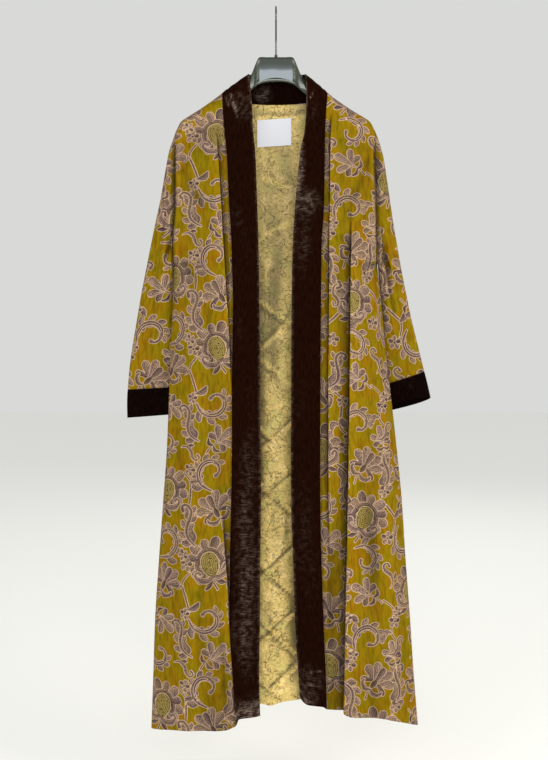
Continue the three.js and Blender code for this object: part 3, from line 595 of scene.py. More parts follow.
printing = {
    "width": 300.0, "height": 420.0,  # the repeat, in millimetres
    "cell": 0.75,
    "outline": 0.5,  # half width of the drawn line
}


def curveThrough(points, steps=5):
    p = np.array(points, float)
    p = np.vstack([2 * p[0] - p[1], p, 2 * p[-1] - p[-2]])
    out = []
    for i in range(1, len(p) - 2):
        for t in np.arange(steps) / steps:
            out.append(0.5 * (2 * p[i] + (p[i + 1] - p[i - 1]) * t
                              + (2 * p[i - 1] - 5 * p[i] + 4 * p[i + 1] - p[i + 2]) * t * t
                              + (3 * p[i] - p[i - 1] - 3 * p[i + 1] + p[i + 2]) * t ** 3))
    return np.vstack(out + [p[-2]])


def petal(angle, start, reach, half, layer, tone, lean=0.0, foot=0.4):
    # a petal from the middle outwards; lean curls its tip
    turn = math.radians(angle)
    along = np.array([math.sin(turn), math.cos(turn)])
    side = np.array([along[1], -along[0]])
    places = [(start, foot, 0), (lerp(start, reach, 0.4), 0.75, 0.2), (lerp(start, reach, 0.75), 1, 0.65),
              (reach - half * 0.6, 0.68, 1)]
    points = [[*(along * far + side * lean * curl), half * wide] for far, wide, curl in places]
    return (layer, tone, curveThrough(points))


def scallop(path, reach, half, layer, tones, ahead=0.5, first=1, both=False):
    # lobes along the outer side of a curved path
    strokes = []
    for k in range(first, len(path) - 1):
        place = np.array(path[k][:2])
        way = np.array(path[k + 1][:2]) - np.array(path[k - 1][:2])
        way /= np.hypot(*way)
        for side in ((1, -1) if both else (1,)):
            out = np.array([way[1], -way[0]]) * side
            fade = 1 - 0.45 * k / len(path)
            tip = place + (out * 0.85 + way * ahead) * reach * fade
            middle = place + (out * 0.55 + way * 0.1) * reach * fade
            strokes.append((layer, tones[k % len(tones)], curveThrough([
                [*place, half * 0.8 * fade], [*middle, half * fade], [*tip, half * 0.62 * fade]])))
    return strokes


def palmette():
    strokes = [(0, 0.45, curveThrough([[0, -0.6, 0.06], [0.05, -0.9, 0.05], [-0.04, -1.25, 0.06]]))]
    # the outer fan, in two rows
    for k in range(11):
        angle = -130 + 26 * k
        reach = 1.08 + 0.2 * math.cos(math.radians(angle)) - 0.1 * (k % 2)
        strokes.append(petal(angle, 0.5, reach, [0.24, 0.2][k % 2], k % 2, [0.15, 0.5, 0.3][k % 3],
                             0.08 * np.sign(angle)))
    # a collar with an arched rim
    strokes.append((1, 0.55, curveThrough([
        [-0.5, -0.34, 0.1], [-0.62, 0.05, 0.12], [-0.42, 0.48, 0.13], [0, 0.66, 0.14], [0.42, 0.48, 0.13],
        [0.62, 0.05, 0.12], [0.5, -0.34, 0.1]])))
    strokes.append((2, 1.0, curveThrough([[0, -0.26, 0.34], [0, 0.0, 0.44], [0, 0.2, 0.4]])))
    for side in (-1, 1):
        curl = [[0.04 * side, -0.62, 0.09], [0.34 * side, -0.72, 0.13], [0.66 * side, -0.6, 0.12],
                [0.82 * side, -0.34, 0.08], [0.7 * side, -0.2, 0.06], [0.58 * side, -0.32, 0.1]]
        strokes.append((2, 0.35, curveThrough(curl)))
        strokes.append((1, 0.7, curveThrough([
            [0.06 * side, -0.7, 0.06], [0.3 * side, -0.98, 0.12], [0.52 * side, -1.1, 0.05]])))
    return strokes


def iris():
    strokes = [(0, 0.45, curveThrough([[0, -0.2, 0.06], [0.06, -0.6, 0.05], [-0.08, -1.1, 0.06]]))]
    for angle, reach, half, layer, tone, lean in [
            (-96, 0.86, 0.16, 0, 0.6, -0.2), (96, 0.86, 0.16, 0, 0.6, 0.2),
            (-58, 1.05, 0.24, 0, 0.2, -0.1), (58, 1.05, 0.24, 0, 0.25, 0.1),
            (-24, 1.15, 0.24, 1, 0.3, -0.05), (24, 1.15, 0.24, 1, 0.12, 0.05), (0, 0.98, 0.2, 2, 0.5, 0.0)]:
        strokes.append(petal(angle, 0.08, reach, half, layer, tone, lean))
    strokes.append((2, 0.75, curveThrough([[0, -0.3, 0.12], [0, -0.1, 0.16], [0, 0.1, 0.1]])))
    for side in (-1, 1):
        strokes.append((1, 0.5, curveThrough([
            [0.02 * side, -0.5, 0.05], [0.3 * side, -0.62, 0.13], [0.6 * side, -0.42, 0.1],
            [0.62 * side, -0.22, 0.06]])))
    return strokes


def acanthus():
    # a broad leaf that curls over: lobes down its back and a round tip
    path = []
    for k in range(10):
        turn = math.radians(-50 + 36 * k)
        away = 1.0 * 0.85 ** k + 0.05
        width = [0.05, 0.1, 0.13, 0.14, 0.14, 0.12, 0.1, 0.08, 0.08, 0.12][k]
        path.append([away * math.cos(turn), away * math.sin(turn), width])
    strokes = scallop(path[:8], 0.5, 0.21, 0, [0.12, 0.35, 0.2])
    strokes += scallop(path[1:5], -0.26, 0.12, 0, [0.5, 0.6])
    strokes.append((1, 0.4, curveThrough(path)))
    inner = [[0.93 * x, 0.93 * y, 0.4 * w] for x, y, w in path[1:6]]
    strokes.append((2, 0.8, curveThrough(inner)))
    return strokes


def plume():
    # a long S-shaped leaf, lobed on both sides
    path = [[0.1, -1.1, 0.05], [-0.1, -0.8, 0.07], [-0.22, -0.45, 0.09], [-0.1, -0.05, 0.1],
            [0.18, 0.28, 0.1], [0.36, 0.62, 0.09], [0.22, 0.95, 0.08], [-0.06, 0.98, 0.07],
            [-0.08, 0.78, 0.12]]
    strokes = scallop(path[:7], 0.44, 0.2, 0, [0.15, 0.4, 0.25], both=True)
    strokes.append((1, 0.5, curveThrough(path)))
    return strokes


def spray():
    strokes = [(0, 0.45, curveThrough([[0, -0.1, 0.05], [0.05, -0.5, 0.045], [-0.06, -0.95, 0.06]]))]
    lobes = [(-92, 0.7, 0.18), (92, 0.7, 0.18), (-48, 0.92, 0.21), (48, 0.92, 0.21), (0, 1.12, 0.24)]
    for k, (angle, reach, half) in enumerate(lobes):
        strokes.append(petal(angle, 0.02, reach, half, [0, 0, 1, 1, 2][k], [0.5, 0.4, 0.15, 0.25, 0.1][k],
                             0.1 * np.sign(angle)))
    for side in (-1, 1):
        strokes.append((1, 0.65, curveThrough([
            [0.02 * side, -0.4, 0.05], [0.26 * side, -0.5, 0.12], [0.5 * side, -0.34, 0.06]])))
    return strokes


def blossom():
    strokes = [petal(72 * k + 8, 0.1, 1.0, 0.38, k % 2, [0.2, 0.7, 0.3][k % 3]) for k in range(5)]
    strokes.append((2, 0.9, np.array([[0, 0, 0.26], [0.02, 0, 0.26]])))
    return strokes


def tendril():
    return [
        (1, 0.4, curveThrough([[0, -1, 0.05], [0.28, -0.55, 0.1], [0.12, 0.0, 0.16], [-0.3, 0.32, 0.15],
                               [-0.42, 0.72, 0.1], [-0.12, 0.9, 0.08], [0.04, 0.66, 0.13]])),
        (0, 0.6, curveThrough([[0.2, -0.4, 0.06], [0.5, -0.2, 0.16], [0.62, 0.1, 0.07]])),
    ]


def vine():
    return [
        (0, 0.4, curveThrough([[-1, 0, 0.04], [-0.5, 0.26, 0.045], [0, 0.05, 0.055], [0.5, -0.22, 0.045],
                               [1, 0, 0.04]])),
        (1, 0.5, curveThrough([[-0.42, 0.24, 0.04], [-0.3, 0.5, 0.13], [-0.08, 0.6, 0.05]])),
        (1, 0.3, curveThrough([[0.4, -0.2, 0.04], [0.3, -0.46, 0.12], [0.52, -0.6, 0.05]])),
    ]


motifs = {"palmette": palmette, "iris": iris, "acanthus": acanthus, "plume": plume, "spray": spray,
          "blossom": blossom, "tendril": tendril, "vine": vine}

# motif, x, y, turn in degrees, size in millimetres, mirrored (-1) or not
placements = [
    ["vine", 104, 350, 60, 50, 1], ["vine", 104, 150, 100, 50, -1], ["vine", 200, 290, 70, 50, 1],
    ["vine", 205, 60, 110, 50, 1], ["vine", 2, 100, 80, 50, -1], ["vine", 298, 300, 70, 46, 1],
    ["palmette", 52, 352, 12, 40, 1], ["palmette", 152, 216, -18, 41, -1], ["palmette", 252, 84, 24, 40, 1],
    ["acanthus", 54, 258, 60, 37, 1], ["acanthus", 148, 396, -40, 37, -1], ["acanthus", 150, 112, 130, 37, 1],
    ["acanthus", 250, 268, 10, 37, -1], ["acanthus", 46, 32, 190, 35, 1], ["acanthus", 250, 0, 100, 33, -1],
    ["plume", 104, 290, -20, 39, 1], ["plume", 206, 152, 160, 39, 1], ["plume", 4, 176, 20, 39, -1],
    ["plume", 200, 372, 30, 37, -1], ["plume", 96, 68, -30, 37, 1],
    ["iris", 54, 172, 24, 35, 1], ["iris", 158, 318, -30, 35, 1], ["iris", 256, 184, 40, 35, -1],
    ["spray", 252, 356, -60, 34, 1], ["spray", 50, 102, 130, 32, 1], ["spray", 158, 34, 50, 34, -1],
    ["spray", 298, 232, -10, 29, 1],
    ["blossom", 104, 214, 0, 12, 1], ["blossom", 96, 232, 40, 10, 1], ["blossom", 206, 222, 20, 12, 1],
    ["blossom", 214, 240, 0, 10, 1], ["blossom", 4, 300, 0, 12, 1], ["blossom", 12, 318, 50, 10, 1],
    ["blossom", 196, 14, 10, 12, 1], ["blossom", 104, 118, 0, 10, 1], ["blossom", 298, 44, 0, 12, 1],
    ["blossom", 102, 398, 10, 11, 1], ["blossom", 296, 136, 30, 11, 1], ["blossom", 206, 312, 0, 10, 1],
    ["tendril", 102, 12, 110, 24, -1], ["tendril", 298, 392, 0, 26, 1], ["tendril", 208, 100, 200, 24, 1],
    ["tendril", 6, 250, 60, 24, 1],
]


def strokeDistance(x, y, points):
    # distance outside the stroke's edge (negative within it), the offset from its middle line and
    # the half width there
    best = np.full(x.shape, 1e3)
    offset = np.zeros(x.shape)
    wide = np.ones(x.shape)
    for (ax, ay, ar), (bx, by, br) in zip(points[:-1], points[1:]):
        dx, dy = bx - ax, by - ay
        length = max(dx * dx + dy * dy, 1e-9)
        t = np.clip(((x - ax) * dx + (y - ay) * dy) / length, 0, 1)
        px, py = x - (ax + dx * t), y - (ay + dy * t)
        away = np.hypot(px, py)
        here = away - lerp(ar, br, t)
        nearer = here < best
        best = np.where(nearer, here, best)
        offset = np.where(nearer, np.where(px * dy - py * dx < 0, -away, away), offset)
        wide = np.where(nearer, lerp(ar, br, t), wide)
    return best, offset, wide


def drawPrint():
    columns = int(printing["width"] / printing["cell"])
    rows = int(printing["height"] / printing["cell"])
    far = 30.0
    tile = {key: np.full((rows, columns), far) for key in ("back", "middle", "front", "vein")}
    tile["tone"] = np.full((rows, columns), 0.3)
    keys = ("back", "middle", "front")
    for name, x0, y0, turn, size, mirror in placements:
        reach = int(size * 1.5 / printing["cell"]) + 4
        cx, cy = int(round(x0 / printing["cell"])), int(round(y0 / printing["cell"]))
        i, j = np.arange(cy - reach, cy + reach + 1), np.arange(cx - reach, cx + reach + 1)
        gy, gx = np.meshgrid(i * printing["cell"] - y0, j * printing["cell"] - x0, indexing="ij")
        turn = math.radians(turn)
        x = (gx * math.cos(turn) - gy * math.sin(turn)) * mirror
        y = gx * math.sin(turn) + gy * math.cos(turn)
        layers = [np.full(x.shape, far) for _ in keys]
        tones = [np.full(x.shape, 0.3) for _ in keys]
        veins = [np.full(x.shape, far) for _ in keys]
        for layer, tone, points in motifs[name]():
            distance, offset, wide = strokeDistance(x, y, points * size)
            if tone == 1.0:
                offset = distance + size * 0.11  # a ring drawn inside the seeded middle
                shaded = np.full(x.shape, 1.0)
            else:
                shaded = np.clip(tone + 0.3 * np.clip(offset / wide, -1, 1), 0, 0.9)
            nearer = distance < layers[layer]
            layers[layer] = np.minimum(layers[layer], distance)
            tones[layer] = np.where(nearer, shaded, tones[layer])
            veins[layer] = np.where(nearer, offset, veins[layer])
        whole = np.minimum.reduce(layers)
        tone, vein = tones[0], veins[0]
        for k in (1, 2):
            over = (layers[k] < 0.6) | (layers[k] <= whole)
            tone, vein = np.where(over, tones[k], tone), np.where(over, veins[k], vein)
        hiddenBack = (layers[1] < 0) | (layers[2] < 0)
        layers[0] = np.where(hiddenBack, -far, layers[0])
        layers[1] = np.where(layers[2] < 0, -far, layers[1])
        box = np.ix_(i % rows, j % columns)
        halo = whole < 1.4
        nearest = np.minimum.reduce([tile[key][box] for key in keys])
        for key, values in zip(keys, layers):
            tile[key][box] = np.where(halo, values, np.minimum(tile[key][box], values))
        closer = halo | (whole < nearest)
        tile["tone"][box] = np.where(closer, tone, tile["tone"][box])
        tile["vein"][box] = np.where(closer, vein, tile["vein"][box])
    return tile


tile = drawPrint()
print("print drawn:", len(placements), "motifs in the repeat")


def printAt(u, v):
    # the print's fields at cloth places, between the cells of the repeat
    rows, columns = tile["tone"].shape
    x, y = u / printing["cell"], v / printing["cell"]
    j, i = np.floor(x).astype(int), np.floor(y).astype(int)
    fx, fy = x - j, y - i
    j0, j1, i0, i1 = j % columns, (j + 1) % columns, i % rows, (i + 1) % rows
    fields = {}
    for key, values in tile.items():
        if key == "tone":
            fields[key] = values[i0, j0]
            continue
        clipped = np.clip(values, -12, 12)
        top = lerp(clipped[i0, j0], clipped[i0, j1], fx)
        low = lerp(clipped[i1, j0], clipped[i1, j1], fx)
        fields[key] = lerp(top, low, fy)
    return fields


# materials

def colour(hexCode):
    # sRGB hex to linear
    parts = [int(hexCode[k:k + 2], 16) / 255 for k in (1, 3, 5)]
    return [p / 12.92 if p <= 0.04045 else ((p + 0.055) / 1.055) ** 2.4 for p in parts] + [1.0]


def addNode(tree, kind, inputs=None, **settings):
    node = tree.nodes.new(kind)
    for name, value in settings.items():
        setattr(node, name, value)
    for key, value in (inputs or {}).items():
        if isinstance(value, bpy.types.NodeSocket):
            tree.links.new(value, node.inputs[key])
        else:
            node.inputs[key].default_value = value
    return node


def newMaterial(name):
    material = bpy.data.materials.new(name)
    material.use_nodes = True
    tree = material.node_tree
    shader = tree.nodes["Principled BSDF"]
    return material, tree, shader


def setRamp(node, stops):
    elements = node.color_ramp.elements
    while len(elements) > 1:
        elements.remove(elements[-1])
    elements[0].position, elements[0].color = stops[0][0], colour(stops[0][1])
    for place, code in stops[1:]:
        elements.new(place).color = colour(code)


printedVelvetLook = {
    "ground": "#775f00", "orange": "#7c5600", "green": "#6e5f00", "deep": "#3e3200",
    "line": "#b0957f", "hatch": "#2c1c1a", "ring": "#98865a", "fleck": "#3a2428",
    "tones": [(0.0, "#937a69"), (0.35, "#745f56"), (0.6, "#564746"), (0.85, "#2c1822"), (0.93, "#60541a")],
    "seed": "#38260f",
}


def makePrintedVelvet():
    # viscose velvet, screen printed: a dense short nap that scatters light, paler where it lies over,
    # the dye mottled and streaked down the cloth
    look = printedVelvetLook
    material, tree, shader = newMaterial("printedViscoseVelvet")
    uv = addNode(tree, "ShaderNodeUVMap", uv_map="UVMap").outputs[0]
    fields = {key: addNode(tree, "ShaderNodeAttribute", attribute_name=key).outputs["Fac"]
              for key in ("back", "middle", "front", "vein", "tone", "lit")}

    # the ground: mottles of about 45 mm and nap streaks of about 5 by 40 mm
    mottle = addNode(tree, "ShaderNodeTexNoise", {
        "Vector": uv, "Scale": 20.0, "Detail": 3.0, "Roughness": 0.55})
    stretched = addNode(tree, "ShaderNodeMapping", {"Vector": uv, "Scale": (180.0, 40.0, 1.0)})
    streak = addNode(tree, "ShaderNodeTexNoise", {
        "Vector": stretched.outputs[0], "Scale": 1.0, "Detail": 2.0})
    tint = addNode(tree, "ShaderNodeValToRGB", {"Fac": mottle.outputs["Fac"]})
    setRamp(tint, [(0.32, look["green"]), (0.5, look["ground"]), (0.7, look["orange"])])
    streakAmount = addNode(tree, "ShaderNodeMapRange", {
        "Value": streak.outputs["Fac"], "From Min": 0.42, "From Max": 0.7, "To Min": 0.0, "To Max": 0.5})
    ground = addNode(tree, "ShaderNodeMix", {
        "Factor": streakAmount.outputs[0], "A": tint.outputs[0], "B": colour(look["deep"])},
        data_type="RGBA")

    # the drawn shapes: wobble of the printed edge, fill by tone, and the pale line round them
    wobble = addNode(tree, "ShaderNodeTexNoise", {"Vector": uv, "Scale": 260.0, "Detail": 1.0})
    wobbleBy = addNode(tree, "ShaderNodeMapRange", {
        "Value": wobble.outputs["Fac"], "To Min": -0.5, "To Max": 0.5})
    moved = {key: addNode(tree, "ShaderNodeMath", {
        0: fields[key], 1: wobbleBy.outputs[0]}, operation="ADD").outputs[0]
        for key in ("back", "middle", "front")}
    lowest = addNode(tree, "ShaderNodeMath", {0: moved["back"], 1: moved["middle"]}, operation="MINIMUM")
    lowest = addNode(tree, "ShaderNodeMath", {0: lowest.outputs[0], 1: moved["front"]}, operation="MINIMUM")
    inside = addNode(tree, "ShaderNodeMapRange", {
        "Value": lowest.outputs[0], "From Min": 0.3, "From Max": -0.3})
    edges = [addNode(tree, "ShaderNodeMath", {
        0: moved[key]}, operation="ABSOLUTE").outputs[0] for key in moved]
    edge = addNode(tree, "ShaderNodeMath", {0: edges[0], 1: edges[1]}, operation="MINIMUM")
    edge = addNode(tree, "ShaderNodeMath", {0: edge.outputs[0], 1: edges[2]}, operation="MINIMUM")
    line = addNode(tree, "ShaderNodeMapRange", {
        "Value": edge.outputs[0], "From Min": printing["outline"] + 0.35,
        "From Max": printing["outline"] - 0.35, "To Max": 0.85})
    fill = addNode(tree, "ShaderNodeValToRGB", {"Fac": fields["tone"]})
    setRamp(fill, look["tones"])
    shade = addNode(tree, "ShaderNodeMapRange", {
        "Value": mottle.outputs["Fac"], "From Min": 0.35, "From Max": 0.65, "To Min": 0.0, "To Max": 0.3})
    fillShaded = addNode(tree, "ShaderNodeMix", {
        "Factor": shade.outputs[0], "A": fill.outputs[0], "B": colour("#857040")}, data_type="RGBA")
    # the fills are cut up by plum flecks of about 2 mm
    fleck = addNode(tree, "ShaderNodeTexNoise", {
        "Vector": uv, "Scale": 330.0, "Detail": 2.0, "Roughness": 0.6})
    fleckBy = addNode(tree, "ShaderNodeMapRange", {
        "Value": fleck.outputs["Fac"], "From Min": 0.52, "From Max": 0.62, "To Max": 0.72})
    flecked = addNode(tree, "ShaderNodeMix", {
        "Factor": fleckBy.outputs[0], "A": fillShaded.outputs["Result"], "B": colour(look["fleck"])},
        data_type="RGBA")
    # veins every 3.4 mm down each petal and rings round each seeded middle
    veinEdge = addNode(tree, "ShaderNodeMath", {0: fields["vein"], 1: 1.7}, operation="PINGPONG")
    vein = addNode(tree, "ShaderNodeMapRange", {
        "Value": veinEdge.outputs[0], "From Min": 0.75, "From Max": 0.3, "To Max": 0.75})
    seeded = addNode(tree, "ShaderNodeMath", {0: fields["tone"], 1: 0.92}, operation="GREATER_THAN")
    veinColour = addNode(tree, "ShaderNodeMix", {
        "Factor": seeded.outputs[0], "A": colour(look["hatch"]), "B": colour(look["ring"])},
        data_type="RGBA")
    withVein = addNode(tree, "ShaderNodeMix", {
        "Factor": vein.outputs[0], "A": flecked.outputs["Result"], "B": veinColour.outputs["Result"]},
        data_type="RGBA")
    # seeds of about 2 mm, 5 mm apart, in the round middles
    seeds = addNode(tree, "ShaderNodeTexVoronoi", {"Vector": uv, "Scale": 210.0, "Randomness": 0.6})
    seedDot = addNode(tree, "ShaderNodeMapRange", {
        "Value": seeds.outputs["Distance"], "From Min": 0.34, "From Max": 0.22})
    seedBy = addNode(tree, "ShaderNodeMath", {
        0: seedDot.outputs[0], 1: seeded.outputs[0]}, operation="MULTIPLY")
    withSeeds = addNode(tree, "ShaderNodeMix", {
        "Factor": seedBy.outputs[0], "A": withVein.outputs["Result"], "B": colour(look["seed"])},
        data_type="RGBA")
    drawn = addNode(tree, "ShaderNodeMix", {
        "Factor": inside.outputs[0], "A": ground.outputs["Result"], "B": withSeeds.outputs["Result"]},
        data_type="RGBA")
    printedColour = addNode(tree, "ShaderNodeMix", {
        "Factor": line.outputs[0], "A": drawn.outputs["Result"], "B": colour(look["line"])},
        data_type="RGBA")
    # the nap breaks up every printed edge and crushes in soft patches
    nap = addNode(tree, "ShaderNodeTexNoise", {
        "Vector": uv, "Scale": 700.0, "Detail": 2.0, "Roughness": 0.7})
    napTone = addNode(tree, "ShaderNodeMapRange", {
        "Value": nap.outputs["Fac"], "From Min": 0.3, "From Max": 0.7, "To Min": 0.88, "To Max": 1.12})
    # painted shade and highlight: the colour is scaled by the lit attribute, darker in hollows and lighter on
    # ridges
    napLit = addNode(tree, "ShaderNodeMath", {0: napTone.outputs[0], 1: fields["lit"]}, operation="MULTIPLY")
    napped = addNode(tree, "ShaderNodeVectorMath", {
        0: printedColour.outputs["Result"], "Scale": napLit.outputs[0]}, operation="SCALE")
    tree.links.new(napped.outputs[0], shader.inputs["Base Color"])
    rough = addNode(tree, "ShaderNodeMapRange", {
        "Value": streak.outputs["Fac"], "To Min": 0.62, "To Max": 0.9})
    tree.links.new(rough.outputs[0], shader.inputs["Roughness"])
    height = addNode(tree, "ShaderNodeMath", {
        0: nap.outputs["Fac"], 1: streak.outputs["Fac"]}, operation="ADD")
    bump = addNode(tree, "ShaderNodeBump", {
        "Height": height.outputs[0], "Strength": 0.5, "Distance": 0.0006})
    tree.links.new(bump.outputs[0], shader.inputs["Normal"])
    shader.inputs["Specular IOR Level"].default_value = 0.06
    return material


reverseLook = {"pale": "#dac07e", "mid": "#c2a964", "green": "#b9ad66", "print": "#5c4816",
               "dull": "#947e42"}


def makeVelvetReverse():
    # the velvet's flat wrong side: a pale, slightly shiny ground weave with the print showing through
    look = reverseLook
    material, tree, shader = newMaterial("velvetReverse")
    uv = addNode(tree, "ShaderNodeUVMap", uv_map="UVMap").outputs[0]
    place = addNode(tree, "ShaderNodeTexCoord").outputs["Object"]
    fields = [addNode(tree, "ShaderNodeAttribute", attribute_name=key).outputs["Fac"]
              for key in ("back", "middle", "front")]
    lit = addNode(tree, "ShaderNodeAttribute", attribute_name="lit").outputs["Fac"]
    edges = [addNode(tree, "ShaderNodeMath", {
        0: field}, operation="ABSOLUTE").outputs[0] for field in fields]
    edge = addNode(tree, "ShaderNodeMath", {0: edges[0], 1: edges[1]}, operation="MINIMUM")
    edge = addNode(tree, "ShaderNodeMath", {0: edge.outputs[0], 1: edges[2]}, operation="MINIMUM")
    line = addNode(tree, "ShaderNodeMapRange", {
        "Value": edge.outputs[0], "From Min": 1.4, "From Max": 0.4, "To Max": 0.7})
    mottle = addNode(tree, "ShaderNodeTexNoise", {
        "Vector": uv, "Scale": 26.0, "Detail": 4.0, "Roughness": 0.62})
    ground = addNode(tree, "ShaderNodeValToRGB", {"Fac": mottle.outputs["Fac"]})
    setRamp(ground, [(0.36, look["green"]), (0.5, look["mid"]), (0.64, look["pale"])])
    speckle = addNode(tree, "ShaderNodeTexNoise", {"Vector": uv, "Scale": 300.0, "Detail": 2.0})
    speckleBy = addNode(tree, "ShaderNodeMapRange", {
        "Value": speckle.outputs["Fac"], "From Min": 0.5, "From Max": 0.72, "To Max": 0.6})
    # the print comes through broken, and the ground is clouded every 10 mm or so
    cloud = addNode(tree, "ShaderNodeTexNoise", {
        "Vector": uv, "Scale": 130.0, "Detail": 4.0, "Roughness": 0.7})
    cloudBy = addNode(tree, "ShaderNodeMapRange", {
        "Value": cloud.outputs["Fac"], "From Min": 0.48, "From Max": 0.66, "To Max": 0.7})
    clouded = addNode(tree, "ShaderNodeMix", {
        "Factor": cloudBy.outputs[0], "A": ground.outputs[0], "B": colour(look["dull"])},
        data_type="RGBA")
    through = addNode(tree, "ShaderNodeMapRange", {
        "Value": cloud.outputs["Fac"], "From Min": 0.4, "From Max": 0.6, "To Min": 0.35, "To Max": 1.0})
    lineBy = addNode(tree, "ShaderNodeMath", {
        0: line.outputs[0], 1: through.outputs[0]}, operation="MULTIPLY")
    broken = addNode(tree, "ShaderNodeMath", {
        0: lineBy.outputs[0], 1: speckleBy.outputs[0]}, operation="ADD")
    shown = addNode(tree, "ShaderNodeMix", {
        "Factor": broken.outputs[0], "A": clouded.outputs["Result"], "B": colour(look["print"])},
        data_type="RGBA")
    # painted shade and highlight: the colour is scaled by the lit attribute, darker in hollows and lighter on
    # ridges
    shaded = addNode(tree, "ShaderNodeVectorMath", {
        0: shown.outputs["Result"], "Scale": lit}, operation="SCALE")
    tree.links.new(shaded.outputs[0], shader.inputs["Base Color"])
    weave = addNode(tree, "ShaderNodeTexWave", {
        "Vector": place, "Scale": 160.0, "Distortion": 1.5}, bands_direction="Z")
    crumple = addNode(tree, "ShaderNodeTexNoise", {"Vector": uv, "Scale": 60.0, "Detail": 3.0})
    height = addNode(tree, "ShaderNodeMath", {
        0: weave.outputs["Fac"], 1: 0.12, 2: crumple.outputs["Fac"]}, operation="MULTIPLY_ADD")
    bump = addNode(tree, "ShaderNodeBump", {"Height": height.outputs[0], "Strength": 0.6, "Distance": 0.002})
    tree.links.new(bump.outputs[0], shader.inputs["Normal"])
    shader.inputs["Roughness"].default_value = 0.55
    shader.inputs["Sheen Weight"].default_value = 0.1
    shader.inputs["Specular IOR Level"].default_value = 0.35
    return material


# the crushed colour and the patch noise are for painted glints on crushed pile
plushLook = {
    "band": ("#100300", "#1a0803"), "cuff": ("#050100", "#0d0403"),
    "crushedSheen": "#75655a", "crushSheenFrom": 0.4, "crushSheenTo": 0.62, "crushSheenScale": 95.0, "sheen": 0.01,
}


def makePlush(name, base, raised):
    # silk-and-viscose plush: a deep pile that looks almost black, with painted grey-brown glints where it is
    # crushed flat
    look = plushLook
    material, tree, shader = newMaterial(name)
    uv = addNode(tree, "ShaderNodeUVMap", uv_map="UVMap").outputs[0]
    crushSheen = addNode(tree, "ShaderNodeAttribute", attribute_name="crushSheen").outputs["Fac"]
    patch = addNode(tree, "ShaderNodeTexNoise", {
        "Vector": uv, "Scale": look["crushSheenScale"], "Detail": 3.0, "Roughness": 0.6})
    stretched = addNode(tree, "ShaderNodeMapping", {"Vector": uv, "Scale": (420.0, 60.0, 1.0)})
    pile = addNode(tree, "ShaderNodeTexNoise", {"Vector": stretched.outputs[0], "Scale": 1.0, "Detail": 3.0})
    # crushed pile lies in fine ridges across the band, about 2 mm apart, and the painted glints follow them
    acrossPile = addNode(tree, "ShaderNodeMapping", {"Vector": uv, "Scale": (70.0, 480.0, 1.0)})
    ridges = addNode(tree, "ShaderNodeTexNoise", {
        "Vector": acrossPile.outputs[0], "Scale": 1.0, "Detail": 3.0})
    patchBy = addNode(tree, "ShaderNodeMapRange", {
        "Value": patch.outputs["Fac"], "From Min": look["crushSheenFrom"], "From Max": look["crushSheenTo"],
        "To Min": 0.25, "To Max": 1.6})
    amount = addNode(tree, "ShaderNodeMath", {0: patchBy.outputs[0], 1: crushSheen}, operation="MULTIPLY")
    crushedSheen = addNode(tree, "ShaderNodeMapRange", {
        "Value": amount.outputs[0], "From Min": 0.03, "From Max": 0.95, "To Max": 0.95})
    pileBy = addNode(tree, "ShaderNodeMapRange", {
        "Value": pile.outputs["Fac"], "From Min": 0.4, "From Max": 0.65})
    deep = addNode(tree, "ShaderNodeMix", {
        "Factor": pileBy.outputs[0], "A": colour(base), "B": colour(raised)}, data_type="RGBA")
    ridgeBy = addNode(tree, "ShaderNodeMapRange", {
        "Value": ridges.outputs["Fac"], "From Min": 0.42, "From Max": 0.6, "To Min": 0.1})
    glint = addNode(tree, "ShaderNodeMath", {
        0: crushedSheen.outputs[0], 1: ridgeBy.outputs[0]}, operation="MULTIPLY")
    tone = addNode(tree, "ShaderNodeMix", {
        "Factor": glint.outputs[0], "A": deep.outputs["Result"], "B": colour(look["crushedSheen"])},
        data_type="RGBA")
    # painted shade and highlight: the colour is scaled by the lit attribute, darker in hollows and lighter on
    # ridges
    lit = addNode(tree, "ShaderNodeAttribute", attribute_name="lit").outputs["Fac"]
    shaded = addNode(tree, "ShaderNodeVectorMath", {
        0: tone.outputs["Result"], "Scale": lit}, operation="SCALE")
    tree.links.new(shaded.outputs[0], shader.inputs["Base Color"])
    rough = addNode(tree, "ShaderNodeMapRange", {
        "Value": crushedSheen.outputs[0], "To Min": 0.85, "To Max": 0.45})
    tree.links.new(rough.outputs[0], shader.inputs["Roughness"])
    height = addNode(tree, "ShaderNodeMath", {
        0: patch.outputs["Fac"], 1: 0.6, 2: pile.outputs["Fac"]}, operation="MULTIPLY_ADD")
    bump = addNode(tree, "ShaderNodeBump", {
        "Height": height.outputs[0], "Strength": 0.7, "Distance": 0.0015})
    tree.links.new(bump.outputs[0], shader.inputs["Normal"])
    shader.inputs["Sheen Weight"].default_value = look["sheen"]
    shader.inputs["Sheen Roughness"].default_value = 0.4
    shader.inputs["Sheen Tint"].default_value = colour("#7a5a48")
    shader.inputs["Specular IOR Level"].default_value = 0.02
    return material


def makeSatinLabel():
    # polyester satin ribbon: smooth and faintly shiny across, threads of about 0.3 mm drawn as 1 mm
    material, tree, shader = newMaterial("satinLabel")
    uv = addNode(tree, "ShaderNodeUVMap", uv_map="UVMap").outputs[0]
    weave = addNode(tree, "ShaderNodeTexWave", {
        "Vector": uv, "Scale": 160.0, "Distortion": 0.6}, bands_direction="Y")
    tone = addNode(tree, "ShaderNodeMix", {
        "Factor": weave.outputs["Fac"], "A": colour("#c6c8d2"), "B": colour("#d2d4dd")}, data_type="RGBA")
    tree.links.new(tone.outputs["Result"], shader.inputs["Base Color"])
    bump = addNode(tree, "ShaderNodeBump", {
        "Height": weave.outputs["Fac"], "Strength": 0.2, "Distance": 0.0004})
    tree.links.new(bump.outputs[0], shader.inputs["Normal"])
    shader.inputs["Roughness"].default_value = 0.45
    return material


